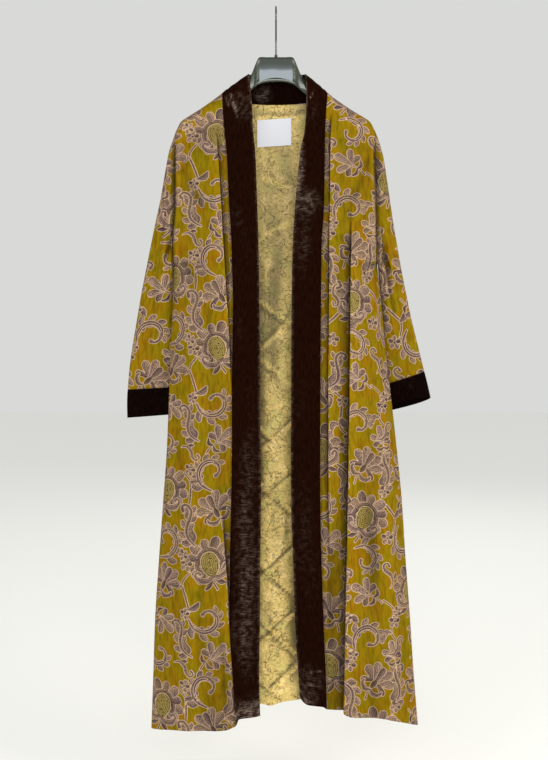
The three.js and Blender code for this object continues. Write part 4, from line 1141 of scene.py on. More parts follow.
def makeThread():
    # spun polyester sewing thread
    material, tree, shader = newMaterial("sewingThread")
    place = addNode(tree, "ShaderNodeTexCoord").outputs["Object"]
    ply = addNode(tree, "ShaderNodeTexWave", {"Vector": place, "Scale": 900.0}, bands_direction="DIAGONAL")
    tone = addNode(tree, "ShaderNodeMix", {
        "Factor": ply.outputs["Fac"], "A": colour("#c9c7cc"), "B": colour("#efeef2")}, data_type="RGBA")
    tree.links.new(tone.outputs["Result"], shader.inputs["Base Color"])
    shader.inputs["Roughness"].default_value = 0.6
    return material


def makeSmokedPlastic():
    # moulded smoked polycarbonate: clear grey-green, glossy, with slow waves from the mould
    material, tree, shader = newMaterial("smokedPolycarbonate")
    place = addNode(tree, "ShaderNodeTexCoord").outputs["Object"]
    flow = addNode(tree, "ShaderNodeTexNoise", {"Vector": place, "Scale": 22.0, "Detail": 2.0})
    tone = addNode(tree, "ShaderNodeMix", {
        "Factor": flow.outputs["Fac"], "A": colour("#1f271c"), "B": colour("#39432f")}, data_type="RGBA")
    tree.links.new(tone.outputs["Result"], shader.inputs["Base Color"])
    rough = addNode(tree, "ShaderNodeMapRange", {
        "Value": flow.outputs["Fac"], "To Min": 0.08, "To Max": 0.22})
    tree.links.new(rough.outputs[0], shader.inputs["Roughness"])
    bump = addNode(tree, "ShaderNodeBump", {
        "Height": flow.outputs["Fac"], "Strength": 0.25, "Distance": 0.001})
    tree.links.new(bump.outputs[0], shader.inputs["Normal"])
    shader.inputs["IOR"].default_value = 1.58
    shader.inputs["Transmission Weight"].default_value = 0.3
    return material


def makeFrostedPanel():
    # spark-eroded polycarbonate face: a fine even frost
    material, tree, shader = newMaterial("frostedPolycarbonate")
    place = addNode(tree, "ShaderNodeTexCoord").outputs["Object"]
    frost = addNode(tree, "ShaderNodeTexNoise", {"Vector": place, "Scale": 900.0, "Detail": 2.0})
    haze = addNode(tree, "ShaderNodeTexNoise", {"Vector": place, "Scale": 30.0, "Detail": 2.0})
    # it looks dark and green at the top, where the clear plate shows through, and paler below
    height = addNode(tree, "ShaderNodeSeparateXYZ", {"Vector": place}).outputs["Z"]
    down = addNode(tree, "ShaderNodeMapRange", {"Value": height, "From Min": -0.112, "From Max": -0.132})
    downBy = addNode(tree, "ShaderNodeMath", {
        0: haze.outputs["Fac"], 1: 0.5, 2: down.outputs[0]}, operation="MULTIPLY_ADD")
    tone = addNode(tree, "ShaderNodeValToRGB", {"Fac": downBy.outputs[0]})
    setRamp(tone, [(0.3, "#242c26"), (0.75, "#3f474a"), (1.0, "#7e8790")])
    tree.links.new(tone.outputs[0], shader.inputs["Base Color"])
    rough = addNode(tree, "ShaderNodeMapRange", {
        "Value": frost.outputs["Fac"], "To Min": 0.6, "To Max": 0.8})
    tree.links.new(rough.outputs[0], shader.inputs["Roughness"])
    bump = addNode(tree, "ShaderNodeBump", {
        "Height": frost.outputs["Fac"], "Strength": 0.3, "Distance": 0.0003})
    tree.links.new(bump.outputs[0], shader.inputs["Normal"])
    shader.inputs["IOR"].default_value = 1.58
    return material


def makePlatedSteel():
    # steel wire plated in black nickel: dark and bright at once, slightly rubbed
    material, tree, shader = newMaterial("platedSteelWire")
    place = addNode(tree, "ShaderNodeTexCoord").outputs["Object"]
    rub = addNode(tree, "ShaderNodeTexNoise", {"Vector": place, "Scale": 240.0, "Detail": 3.0})
    tone = addNode(tree, "ShaderNodeMix", {
        "Factor": rub.outputs["Fac"], "A": colour("#3f4041"), "B": colour("#717273")}, data_type="RGBA")
    tree.links.new(tone.outputs["Result"], shader.inputs["Base Color"])
    rough = addNode(tree, "ShaderNodeMapRange", {"Value": rub.outputs["Fac"], "To Min": 0.16, "To Max": 0.4})
    tree.links.new(rough.outputs[0], shader.inputs["Roughness"])
    shader.inputs["Metallic"].default_value = 1.0
    return material


printedVelvet = makePrintedVelvet()
velvetReverse = makeVelvetReverse()
bandPlush = makePlush("bandPlush", *plushLook["band"])
cuffPlush = makePlush("cuffPlush", *plushLook["cuff"])
satinLabel = makeSatinLabel()
sewingThread = makeThread()
smokedPlastic = makeSmokedPlastic()
frostedPanel = makeFrostedPanel()
platedSteel = makePlatedSteel()
print("materials made")


# the cloth pieces

frontPieces = {
    "frontColumns": 76, "bandColumns": 20, "rollRows": 10, "upperRows": 130, "lowerRows": 420,
    "flat": {"left": (0.19, 1.28), "right": (0.205, 1.26)},
    "bandFlat": (0.062, 1.29),
    "printShift": {"left": (120.0, 40.0), "right": (250.0, 260.0)},
    "unevenness": 1.1, "armholeSwell": 3.5, "bandPlump": 0.9, "gatherDrop": 190, "gatherReach": 70,
}


def fallSteps(rollRows, upperRows, lowerRows):
    # rows crowd where the cloth turns over the shoulder
    start = 0.1 * (np.arange(rollRows) / rollRows) ** 2
    return np.concatenate([start, np.linspace(0.1, 1, upperRows), np.linspace(1, 2, lowerRows)[1:]])


def edgeSteps(count):
    # columns from the band seam (0) to the side (1), closer at the pleats and at the side's turn
    part = np.linspace(0, 1, count)[1:]
    steps = 1.1 - 0.4 * np.exp(-((part / 0.25) ** 2)) - 0.7 * part ** 8
    return np.concatenate([[0], np.cumsum(steps) / steps.sum()])


# where the plush is crushed and carries a painted sheen: drop, share across (0 seam, 1 edge), half height,
# half width, amount
crushSheenPatches = {
    "left": [
        [200, 0.7, 30, 0.3, 0.16], [420, 0.2, 30, 0.3, 0.06], [640, 0.3, 50, 0.3, 0.05],
        [905, 0.6, 60, 0.3, 0.14], [1010, 0.45, 60, 0.3, 0.17], [1130, 0.55, 70, 0.32, 0.28],
        [1245, 0.5, 60, 0.35, 0.22], [1390, 0.5, 20, 1.2, 0.8],
    ],
    "right": [
        [215, 0.7, 30, 0.3, 0.06], [335, 0.97, 42, 0.16, 0.7], [392, 0.62, 24, 0.4, 0.36],
        [470, 0.7, 40, 0.3, 0.1], [980, 0.6, 70, 0.4, 0.05], [1120, 0.4, 90, 0.5, 0.05],
        [1330, 0.6, 26, 0.6, 0.16], [1372, 0.9, 16, 0.4, 0.6],
    ],
}
# creases of the plush, raised and with a painted highlight along them: share and drop at both ends, half
# width, amount
plushCreases = {
    "left": [[0.27, 172, 0.5, 226, 2.2, 1.0], [0.12, 176, 0.24, 206, 2.0, 0.4]],
    "right": [[0.6, 168, 0.9, 190, 2.0, 0.4], [0.1, 1308, 0.9, 1314, 2.4, 0.4],
              [0.15, 1340, 0.8, 1334, 2.4, 0.4]],
}


def plushCrease(side, drop, share):
    total = np.zeros(drop.shape)
    for share0, drop0, share1, drop1, half, amount in plushCreases[side]:
        along = np.array([(share1 - share0) * cloth["bandWidth"], drop1 - drop0])
        length = np.hypot(*along)
        along /= length
        a, b = (share - share0) * cloth["bandWidth"], drop - drop0
        part = (a * along[0] + b * along[1]) / length
        off = b * along[0] - a * along[1]
        ends = smooth(part / 0.2) * smooth((1 - part) / 0.3)
        total = np.maximum(total, amount * ends * np.exp(-((off / half) ** 2)))
    return total


def bandCrushSheen(side, drop, share):
    crushSheen = np.maximum(0.05 * drift(share * 60, drop, 120, 5), 0)
    for place, across, tall, wide, amount in crushSheenPatches[side]:
        crushSheen = crushSheen + amount * np.exp(-(((drop - place) / tall) ** 2) - ((share - across) / wide) ** 2)
    # painted highlight along the band's free edge and along its creases
    return crushSheen + 0.4 * np.exp(-(((1 - share) / 0.05) ** 2)) + plushCrease(side, drop, share)


# painted sheen of crushed pile, in slow uneven patches
def evenCrushSheen(u, v):
    return {"crushSheen": np.maximum(0.12 * drift(u, -v, 60, 6), 0)}


def neckCrushSheen(u, v):
    # painted sheen: one place left of the label's top is lighter
    sheenPatch = np.exp(-(((u - 172) / 14) ** 2) - ((v + 42) / 13) ** 2)
    return {"crushSheen": evenCrushSheen(u, v)["crushSheen"] + 0.7 * sheenPatch}


def makeFront(side):
    spec = frontPieces
    fall = fallSteps(spec["rollRows"], spec["upperRows"], spec["lowerRows"])[:, None]
    across = edgeSteps(spec["frontColumns"])[None, :]
    bandAcross = np.linspace(0, 1, spec["bandColumns"])[None, :]
    front = frontPoint(side, across, fall)
    band = bandPoint(side, bandAcross, fall)
    # the band's hem is a step above the panel's
    hem = at(frontHem, side, 0.0)
    level = smooth(1 - (hem + band[..., 2]) / cloth["bandHemRiseLength"])
    rise = cloth["bandHemRise"][side]
    stepped = smooth(bandAcross / 0.14) * lerp(cloth["bandHemStep"][side], rise, bandAcross)
    stepped = stepped + cloth["bandHemCorner"][side] * np.clip((bandAcross - 0.6) / 0.4, 0, 1) ** 2.5
    band[..., 2] += level * (stepped - rise * bandAcross)
    grid = np.concatenate([front[:, ::-1], band[:, 1:]], 1)
    if side == "right":
        grid = grid[:, ::-1]
    normal = gridNormals(grid)  # towards the back
    x, drop = grid[..., 0], -grid[..., 2]
    seamX = at(outline, side + "Seam", drop)
    sideX = at(outline, side + "Side", drop)
    share = (x - seamX) / (sideX - seamX)
    fromTop = drop - at(ridge, "drop", np.clip(share, 0, 1))
    calm = smooth(share / 0.06) * smooth((1 - share) / 0.08) * smooth(fromTop / 40)
    lift = creaseRise(side, x, drop) + spec["unevenness"] * drift(x, drop, 90, 11 if side == "left" else 12)
    # the armhole seam pulls in: the panel swells just before it
    armhole = smooth(fromTop / 60) * smooth((cloth["underarmDrop"] + 30 - drop) / 60)
    swell = spec["armholeSwell"] * armhole * np.exp(-(((share - 0.93) / 0.045) ** 2))
    bandShare = np.concatenate([np.zeros(spec["frontColumns"]), bandAcross[0, 1:]])
    bandShare = np.broadcast_to(bandShare if side == "left" else bandShare[::-1], x.shape)
    plump = spec["bandPlump"] * np.clip(4 * bandShare * (1 - bandShare), 0, 1) ** 0.6
    ripple = 0.5 * drift(x * 0.4, drop, 160, 21) * smooth(bandShare / 0.2)
    # short gathers across the band where it bends round the neck
    wave = np.sin(0.62 * drop + 2 * np.sin(0.11 * drop) + 1.4 * bandShare)
    gather = smooth(1 - np.abs(drop - spec["gatherDrop"]) / spec["gatherReach"]) * wave
    ripple += (0.8 * gather + 1.2 * plushCrease(side, drop, bandShare)) * smooth(bandShare / 0.15)
    lean, creviceShade = tuck(side, x, drop)
    grid = grid - normal * (lift * calm + plump + ripple + swell)[..., None]
    grid[..., 0] += lean * smooth(share / 0.05) * smooth(fromTop / 30)
    normal = gridNormals(grid)
    # painted shade, as extra hollow depth: along the band seam, along the armhole seam and in the pleats'
    # crevices
    seamShade = 2.4 * np.exp(-((share * 100 / 2.2) ** 2))
    armholeShade = 6 * armhole * np.exp(-(((1 - share) * 95 / 4) ** 2))
    paintedShadeDepth = 7 * creviceShade * smooth((share + 0.004) / 0.012) + seamShade + armholeShade
    leftOut = np.zeros(grid.shape[:2], int)
    leftOut[0] = 2
    sideColumn = 0 if side == "left" else -1
    lower = (fall[:, 0] >= 1)
    leftOut[lower, sideColumn] = 2
    leftOut[~lower, sideColumn] = 1
    leftOut[0, sideColumn] = 2
    way = wallWay(normal, leftOut)
    seam = spec["frontColumns"] - 1 if side == "left" else spec["bandColumns"] - 1
    parts = {"front": np.s_[:, :seam + 1], "band": np.s_[:, seam:]}
    if side == "right":
        parts = {"front": np.s_[:, seam:], "band": np.s_[:, :seam + 1]}
    seamEdge = {"front": "right", "band": "left"} if side == "left" else {"front": "left", "band": "right"}
    made = {}
    crushSheen = bandCrushSheen(side, drop, bandShare)[parts["band"]]
    for kind, wall in (("front", cloth["velvetWall"]), ("band", cloth["bandWall"])):
        outer = trimEdge(grid[parts[kind]], seamEdge[kind], cloth["seamGap"] / 2)
        inner = outer + way[parts[kind]] * wall
        if kind == "front":
            shift = spec["printShift"][side]
            made[kind] = makeShell("frontVelvet" + side.capitalize(), outer, inner,
                                   [printedVelvet, velvetReverse], uShift=shift[0], vShift=shift[1],
                                   printed=printAt, paintedShadeDepth=paintedShadeDepth[parts[kind]],
                                   level=spec["rollRows"] + spec["upperRows"])
        else:
            made[kind] = makeShell("frontBand" + side.capitalize(), outer, inner, [bandPlush],
                                   uShift=shiftOf(side), printed=lambda u, v: {"crushSheen": crushSheen})
    return made


def shiftOf(side):
    return 0.0 if side == "left" else 410.0


backPieces = {
    "shoulderColumns": 32, "neckColumns": 62, "rollRows": 8, "upperRows": 86, "lowerRows": 280,
    "flat": (0.56, 1.26), "neckFlat": (0.225, 0.062), "neckRows": 22, "printShift": (30.0, 150.0),
}


def makeBack():
    spec = backPieces
    left, right = cloth["tipX"]["left"], cloth["tipX"]["right"]
    turns = np.linspace(-1, 1, spec["neckColumns"])
    ease = np.linspace(0, 1, spec["shoulderColumns"], endpoint=False) ** 1.3
    topX = np.concatenate([lerp(left, neckX(-1.0), ease), neckX(turns),
                           lerp(right, neckX(1.0), ease)[::-1]])[None, :]
    fall = fallSteps(spec["rollRows"], spec["upperRows"], spec["lowerRows"])[:, None]
    grid = backPoint(topX, fall)
    normal = gridNormals(grid)  # outwards, to the back
    x, drop = grid[..., 0], -grid[..., 2]
    across = np.broadcast_to((topX - left) / (right - left), x.shape)
    nearest = 2 * np.minimum(across, 1 - across)
    topDrop = np.broadcast_to(backTop(topX)[0], x.shape)
    calm = smooth(nearest / 0.1) * smooth((drop - topDrop) / 30)
    lift = creaseRise("back", x, drop) + 1.2 * drift(x, drop, 110, 13)
    grid = grid + normal * (lift * calm)[..., None]
    normal = gridNormals(grid)
    leftOut = np.zeros(grid.shape[:2], int)
    lower = fall[:, 0] >= 1
    for column in (0, -1):
        leftOut[lower, column] = 2
        leftOut[~lower, column] = 1
    onRidge = np.abs(topX[0] - cloth["neckCentreX"]) >= cloth["neckHalfWidth"] - 0.001
    leftOut[0, onRidge] = 2
    way = wallWay(normal, leftOut)
    inner = grid - way * cloth["velvetWall"]
    shift = spec["printShift"]
    back = makeShell("backVelvet", grid, inner, [printedVelvet, velvetReverse], uShift=shift[0],
                     vShift=shift[1], printed=printAt, level=spec["rollRows"] + spec["upperRows"])
    neckTurns = np.linspace(-1, 1, 74)[None, :]
    neckAcross = np.linspace(1, 0, spec["neckRows"])[:, None]
    neck = neckBandPoint(neckTurns, neckAcross)
    neckNormal = gridNormals(neck)
    plump = 0.8 * np.clip(4 * neckAcross * (1 - neckAcross), 0, 1) ** 0.6
    neck = neck + neckNormal * np.broadcast_to(plump, neck.shape[:2])[..., None] * 0.5
    leftOut = np.zeros(neck.shape[:2], int)
    leftOut[:, 0] = leftOut[:, -1] = 2
    neckWay = wallWay(gridNormals(neck), leftOut)
    neck = trimEdge(neck, "bottom", cloth["seamGap"] / 2)
    neckBand = makeShell("neckBand", neck, neck - neckWay * cloth["bandWall"], [bandPlush], uShift=200.0,
                         printed=neckCrushSheen)
    return back, neckBand, inner


labelPiece = {
    "left": -38, "right": 31, "topLeft": 221, "topRight": 216, "height": 54, "gap": 0.4,
    "columns": 28, "rows": 22, "flat": (0.069, 0.054), "stitchLength": 3.0, "stitchGap": 1.6,
    "stitchRadius": 0.35,
}


def onInnerFace(face, x, drop):
    # the point of the back's inner face at an x and a drop
    line = []
    for row in face:
        c = np.clip(np.searchsorted(row[:, 0], x) - 1, 0, len(row) - 2)
        line.append(lerp(row[c], row[c + 1], (x - row[c, 0]) / (row[c + 1, 0] - row[c, 0])))
    line = np.array(line)
    r = np.clip(np.searchsorted(-line[:, 2], drop) - 1, 0, len(line) - 2)
    return lerp(line[r], line[r + 1], (drop + line[r, 2]) / (line[r, 2] - line[r + 1, 2]))


def makeLabel(face):
    spec = labelPiece
    near = face[:, 20:-20]
    grid = np.zeros((spec["rows"], spec["columns"], 3))
    for j, across in enumerate(np.linspace(0, 1, spec["columns"])):
        x = lerp(spec["left"], spec["right"], across)
        top = lerp(spec["topLeft"], spec["topRight"], across)
        for i, down in enumerate(np.linspace(0, 1, spec["rows"])):
            grid[i, j] = onInnerFace(near, x, top + spec["height"] * down)
    away = spec["gap"]
    inner = grid - [0, away, 0]
    bulge = 0.35 * np.sin(np.linspace(0, np.pi, spec["rows"]))[:, None] * np.ones(spec["columns"])
    outer = grid - [0, away + cloth["labelWall"], 0]
    outer[..., 1] -= bulge
    label = makeShell("neckLabel", outer, inner, [satinLabel])
    lines = [outer[:, 1], outer[:, -2]]
    return label, lines


sleevePieces = {
    "faceColumns": 84, "sleeveRows": 184, "cuffRows": 22,
    "flat": {"left": (0.47, 0.5), "right": (0.46, 0.47)}, "area": {"left": 0.08, "right": 0.073},
    "cuffFlat": (0.25, 0.064),
    "printShift": {"left": (60.0, 300.0), "right": (210.0, 90.0)},
    "drawnIn": 4, "drawnInPlace": 8, "thinnest": 0.25, "thinLength": 40, "turnedLength": 45,
}

# creases of the sleeves: face, place and ring at both ends, rise in millimetres, half width
sleeveCreases = {
    "left": [
        ["front", 0.15, 1.0, 0.3, 6.0, 2.2, 0.06], ["front", 0.55, 0.5, 0.7, 3.5, 2.0, 0.07],
        ["front", 0.9, 1.0, 0.45, 5.5, -2.6, 0.05], ["front", 0.2, 6.0, 0.55, 9.0, 2.0, 0.07],
        ["front", 0.85, 6.0, 0.5, 9.6, 1.8, 0.06], ["front", 0.1, 3.0, 0.15, 8.0, -1.6, 0.06],
        ["back", 0.2, 1.0, 0.35, 7.0, 2.4, 0.08], ["back", 0.8, 1.0, 0.5, 6.0, -2.6, 0.06],
        ["back", 0.6, 4.5, 0.7, 9.5, 2.2, 0.08], ["back", 0.3, 6.5, 0.2, 9.8, -1.8, 0.06],
    ],
    "right": [
        ["front", 0.95, 0.6, 0.4, 4.2, 2.6, 0.05], ["front", 0.9, 2.2, 0.35, 6.2, -2.6, 0.05],
        ["front", 0.2, 1.0, 0.3, 5.0, 2.0, 0.07], ["front", 0.7, 5.0, 0.4, 9.4, 2.2, 0.06],
        ["front", 0.1, 4.0, 0.2, 9.0, -1.6, 0.06], ["front", 0.9, 6.5, 0.7, 9.8, -1.6, 0.06],
        ["back", 0.25, 1.0, 0.35, 7.0, 2.4, 0.08], ["back", 0.85, 1.0, 0.5, 5.5, -2.6, 0.06],
        ["back", 0.6, 4.5, 0.68, 9.5, 2.2, 0.08], ["back", 0.3, 6.0, 0.22, 9.6, -1.8, 0.06],
    ],
}


def sleeveFoldRise(side, face, part, ring):
    total = np.zeros(np.broadcast(part, ring).shape)
    for onFace, placeFrom, placeTo, start, end, rise, width in sleeveFolds[side]:
        if onFace != face:
            continue
        along = np.clip((ring - start) / (end - start), 0, 1)
        place = lerp(placeFrom, placeTo, along)
        total = total + rise * np.sin(along * np.pi) * np.exp(-(((part - place) / width) ** 2))
    return total


def sleeveCreaseRise(side, face, part, ring):
    total = np.zeros(np.broadcast(part, ring).shape)
    for onFace, place0, ring0, place1, ring1, rise, width in sleeveCreases[side]:
        if onFace != face:
            continue
        along = (ring - ring0) / (ring1 - ring0)
        place = lerp(place0, place1, np.clip(along, 0, 1))
        ends = smooth(along / 0.3) * smooth((1 - along) / 0.3)
        total = total + rise * ends * np.exp(-(((part - place) / width) ** 2))
    return total


def sleeveRingPoints(side, face, part, ring):
    # one whole ring: ring 0 is the armhole, the others come from the table
    front = face == "front"
    if ring == 0:
        if front:
            points = frontPoint(side, np.ones_like(part), part)
        else:
            points = backPoint(np.full_like(part, cloth["tipX"][side]), part)
        points[part <= 0, 1] = 0
        points[part >= 1, 1] = 0
        points[..., 0] += -cloth["seamGap"] if side == "left" else cloth["seamGap"]
        return points
    row = {key: values[ring - 1] for key, values in sleeves[side].items()}
    power = cloth["sleeveRoundness"]
    shape = np.clip(1 - np.abs(2 * part - 1) ** power, 0, 1) ** (1 / power)
    half = (row["half"] + sleeveFoldRise(side, face, part, float(ring))) * shape
    y = lerp(row["outerY"], row["innerY"], part) + (-half if front else half)
    cuffShare = (ring - sleeveRings) / 2 if ring > sleeveRings else 0
    lean = cloth["cuffLean"][side] * cuffShare * (-0.5 if front else 0.5) * shape
    x = lerp(row["outerX"], row["innerX"], part)
    return np.stack([x, y, -lerp(row["outerDrop"], row["innerDrop"], part) - lean], -1)


def makeSleeve(side):
    spec = sleevePieces
    # parts crowd at the outer and the inner line; the ring starts and ends at the inner line
    part = 0.5 - 0.5 * np.cos(np.linspace(0, np.pi, spec["faceColumns"]))
    part = lerp(part, np.linspace(0, 1, spec["faceColumns"]), 0.55)
    around = [("back", part[::-1][:-1]), ("front", part[:-1])]
    rings = [np.concatenate([sleeveRingPoints(side, face, parts, ring) for face, parts in around])
             for ring in range(len(sleeves[side]["half"]) + 1)]
    rings = np.array(rings)
    steps = np.linalg.norm(np.diff(rings, axis=0), axis=-1).mean(1)
    places = np.concatenate([[0], np.cumsum(steps)])
    order = np.arange(len(places))
    before, after = np.maximum(order - 1, 0), np.minimum(order + 1, len(places) - 1)
    slopes = (rings[after] - rings[before]) / (places[after] - places[before])[:, None, None]

    def between(place):
        i = np.clip(np.searchsorted(places, place, side="right") - 1, 0, len(places) - 2)
        span = (places[i + 1] - places[i])[:, None, None]
        f = ((place - places[i]) / (places[i + 1] - places[i]))[:, None, None]
        bend = f * f * (3 - 2 * f)
        points = rings[i] + (rings[i + 1] - rings[i]) * bend
        points += f * (1 - f) ** 2 * span * slopes[i] + f * f * (f - 1) * span * slopes[i + 1]
        return points, i + (place - places[i]) / (places[i + 1] - places[i])

    cuffStart = places[sleeveRings]
    rowPlaces = np.concatenate([np.linspace(0, cuffStart, spec["sleeveRows"]),
                                np.linspace(cuffStart, places[-1], spec["cuffRows"])[1:]])
    grid, ringAt = between(rowPlaces)
    centre = grid.mean(1, keepdims=True)
    normal = gridNormals(grid, True)
    flip = np.sign(np.sum(normal * (grid - centre)))
    normal = normal * flip  # outwards
    faces = [sleeveCreaseRise(side, face, parts[None, :], ringAt[:, None]) for face, parts in around]
    lift = np.concatenate(faces, 1)
    u, v = clothSize(grid, True)
    lift += 1.2 * drift(u[:, :-1], v[:, :-1], 100, 15 if side == "left" else 16)
    ease = smooth(rowPlaces / 40) * smooth((places[-1] - rowPlaces) / 60)
    plump = 0.7 * np.clip((rowPlaces - cuffStart) / (places[-1] - cuffStart), 0, 1)
    plump = np.clip(4 * plump * (1 - plump), 0, 1) ** 0.6 * 0.8
    sunk = rowPlaces / spec["drawnInPlace"]
    parts = np.concatenate([parts for face, parts in around])
    # the sleeve is drawn in beside the armhole seam
    drawnIn = spec["drawnIn"] * (sunk * np.exp(1 - sunk))[:, None] * np.sqrt(np.sin(parts * np.pi))
    grid = grid + normal * (lift * ease[:, None] + plump[:, None])[..., None]
    facing = np.repeat([-1, 1], [len(parts) // 2, len(parts) // 2])
    grid[..., 1] += drawnIn * facing
    normal = gridNormals(grid, True) * flip
    leftOut = np.zeros(grid.shape[:2], int)
    leftOut[0] = 1
    way = wallWay(-normal, leftOut)
    # beside the armhole the wall goes straight towards the middle plane; some of it still crosses itself
    straight = np.exp(-((rowPlaces / 24) ** 2))[:, None] * smooth(2.5 * np.sin(parts * np.pi))
    way = lerp(way, np.stack([0 * facing, facing, 0 * facing], -1)[None], straight[..., None])
    seam = spec["sleeveRows"] - 1
    gap = cloth["seamGap"] / 2
    sleeve = trimEdge(grid[:seam + 1], "bottom", gap)
    cuff = trimEdge(grid[seam:], "top", gap)
    shift = spec["printShift"][side]
    # painted shade, as extra hollow depth, along the armhole seam and the cuff seam
    seamShades = 6 * np.exp(-((rowPlaces / 3.5) ** 2))
    seamShades += 2.5 * np.exp(-(((rowPlaces - cuffStart) / 2.5) ** 2))
    paintedShadeDepth = np.broadcast_to(seamShades[:seam + 1, None], sleeve.shape[:2])
    thinning = lerp(spec["thinnest"], 1, smooth(rowPlaces[:seam + 1] / spec["thinLength"]))
    wall = cloth["velvetWall"] * thinning[:, None, None]
    sleevePiece = makeShell("sleeveVelvet" + side.capitalize(), sleeve, sleeve + way[:seam + 1] * wall,
                            [printedVelvet, velvetReverse], around=True, uShift=shift[0], vShift=shift[1],
                            printed=printAt, paintedShadeDepth=paintedShadeDepth, laid=sleeveCloth(sleeve, spec["faceColumns"]),
                            turnedRows=int(np.searchsorted(rowPlaces, spec["turnedLength"])))
    cuffPiece = makeShell("cuffBand" + side.capitalize(), cuff, cuff + way[seam:] * cloth["cuffWall"],
                          [cuffPlush], around=True, uShift=shiftOf(side) + 90, printed=evenCrushSheen)
    return sleevePiece, cuffPiece


frontLeft = makeFront("left")
frontRight = makeFront("right")
print("fronts and bands made")
back, neckBand, innerFace = makeBack()
label, labelLines = makeLabel(innerFace)
print("back, neck band and label made")
sleeveLeft, cuffLeft = makeSleeve("left")
sleeveRight, cuffRight = makeSleeve("right")
print("sleeves and cuffs made")


# the label's stitches

def stitchTree():
    # stitches along a mesh line: short capsules laid end to end with gaps
    tree = bpy.data.node_groups.new("stitchesAlongLine", "GeometryNodeTree")
    tree.interface.new_socket("Geometry", in_out="INPUT", socket_type="NodeSocketGeometry")
    for name in ("Stitch Length", "Stitch Gap", "Thread Radius"):
        tree.interface.new_socket(name, in_out="INPUT", socket_type="NodeSocketFloat")
    tree.interface.new_socket("Thread", in_out="INPUT", socket_type="NodeSocketMaterial")
    tree.interface.new_socket("Geometry", in_out="OUTPUT", socket_type="NodeSocketGeometry")
    given = addNode(tree, "NodeGroupInput").outputs
    pitch = addNode(tree, "ShaderNodeMath", {
        0: given["Stitch Length"], 1: given["Stitch Gap"]}, operation="ADD")
    line = addNode(tree, "GeometryNodeMeshToCurve", {"Mesh": given["Geometry"]})
    points = addNode(tree, "GeometryNodeCurveToPoints", {
        "Curve": line.outputs[0], "Length": pitch.outputs[0]}, mode="LENGTH")
    stitch = addNode(tree, "GeometryNodeMeshUVSphere", {"Segments": 8, "Rings": 6, "Radius": 1.0})
    half = addNode(tree, "ShaderNodeMath", {0: given["Stitch Length"], 1: 0.5}, operation="MULTIPLY")
    size = addNode(tree, "ShaderNodeCombineXYZ", {
        "X": given["Thread Radius"], "Y": given["Thread Radius"], "Z": half.outputs[0]})
    placed = addNode(tree, "GeometryNodeInstanceOnPoints", {
         "Points": points.outputs["Points"], "Instance": stitch.outputs["Mesh"],
        "Rotation": points.outputs["Rotation"], "Scale": size.outputs[0]})
    real = addNode(tree, "GeometryNodeRealizeInstances", {"Geometry": placed.outputs[0]})
    finished = addNode(tree, "GeometryNodeSetMaterial", {
        "Geometry": real.outputs[0], "Material": given["Thread"]})
    addNode(tree, "NodeGroupOutput", {"Geometry": finished.outputs[0]})
    return tree


def makeStitches(name, lines, spec, thread):
    points = np.concatenate(lines) * mm
    edges, start = [], 0
    for line in lines:
        edges += [(start + k, start + k + 1) for k in range(len(line) - 1)]
        start += len(line)
    mesh = bpy.data.meshes.new(name + "Line")
    mesh.from_pydata(points.tolist(), edges, [])
    guide = linkObject(name + "Line", mesh)
    modifier = guide.modifiers.new("stitches", "NODES")
    tree = stitchTree()
    modifier.node_group = tree
    values = {"Stitch Length": spec["stitchLength"] * mm, "Stitch Gap": spec["stitchGap"] * mm,
              "Thread Radius": spec["stitchRadius"] * mm, "Thread": thread}
    for item in tree.interface.items_tree:
        if item.in_out == "INPUT" and item.name in values:
            modifier[item.identifier] = values[item.name]
    evaluated = guide.evaluated_get(bpy.context.evaluated_depsgraph_get())
    mesh = bpy.data.meshes.new_from_object(evaluated)
    mesh.name = name
    bpy.data.objects.remove(guide)
    return linkObject(name, mesh)


labelStitches = makeStitches("labelStitches", labelLines, labelPiece, sewingThread)
print("stitches sewn")


# the hanger

hangerPiece = {"columns": 220, "ringPoints": 48, "squareness": 6.0, "armSquareness": 2.0, "armEnd": 184,
               "wire": 1.8, "crook": 18.0, "stemTop": 60.0, "stemBottom": 112.0, "tip": 200.0,
               "wireSides": 20}
hangerSections = table("x top bottom half", [
    [0, 99, 148, 6], [18, 99, 149, 6], [34, 99.5, 153.5, 6], [38, 106, 156, 6], [43, 118, 160, 6.5],
    [49, 132.5, 165, 7], [56, 139.5, 171, 7], [80, 158.5, 187, 7], [103, 179, 203, 8],
    [126, 192.5, 215, 11], [154, 211, 232, 14], [170, 219.5, 238, 15], [180, 227, 243, 13],
    [184, 231, 241, 7],
])


def makeHangerBody():
    spec = hangerPiece
    end = spec["armEnd"]
    x = np.linspace(0.4 - end, end - 0.4, spec["columns"])
    away = np.abs(x)
    top, bottom, half = (at(hangerSections, key, away) for key in ("top", "bottom", "half"))
    # the arms' ends are rounded off, and a shallow channel runs along both faces of the arms
    endShare = np.clip((end - away) / 9, 0, 1)
    endRound = np.sqrt(1 - (1 - endShare) ** 2)
    power = 2 / lerp(spec["squareness"], spec["armSquareness"], smooth((away - 43) / 13))
    angle = np.arange(spec["ringPoints"]) / spec["ringPoints"] * 2 * np.pi
    cos, sin = np.cos(angle)[None, :], np.sin(angle)[None, :]
    across = np.sign(cos) * np.abs(cos) ** power[:, None]
    up = np.sign(sin) * np.abs(sin) ** power[:, None]
    channel = 1 - 0.22 * smooth((away - 52) / 20)[:, None] * np.exp(-((up / 0.3) ** 2))
    rimmed = 1 - 0.12 * smooth((44 - away) / 6)[:, None] * smooth((0.8 - np.abs(up)) / 0.12)
    y = half[:, None] * across * channel * rimmed * endRound[:, None]
    centre, tall = -(top + bottom) / 2, (bottom - top) / 2
    z = centre[:, None] + tall[:, None] * up * lerp(0.55, 1, endRound)[:, None]
    rings = np.stack([np.broadcast_to(x[:, None], y.shape), y, z], -1)
    mesh = meshFromQuads("hangerBody", rings.reshape(-1, 3), tubeQuads(*y.shape))
    mesh.materials.append(smokedPlastic)
    return linkObject("hangerBody", mesh)


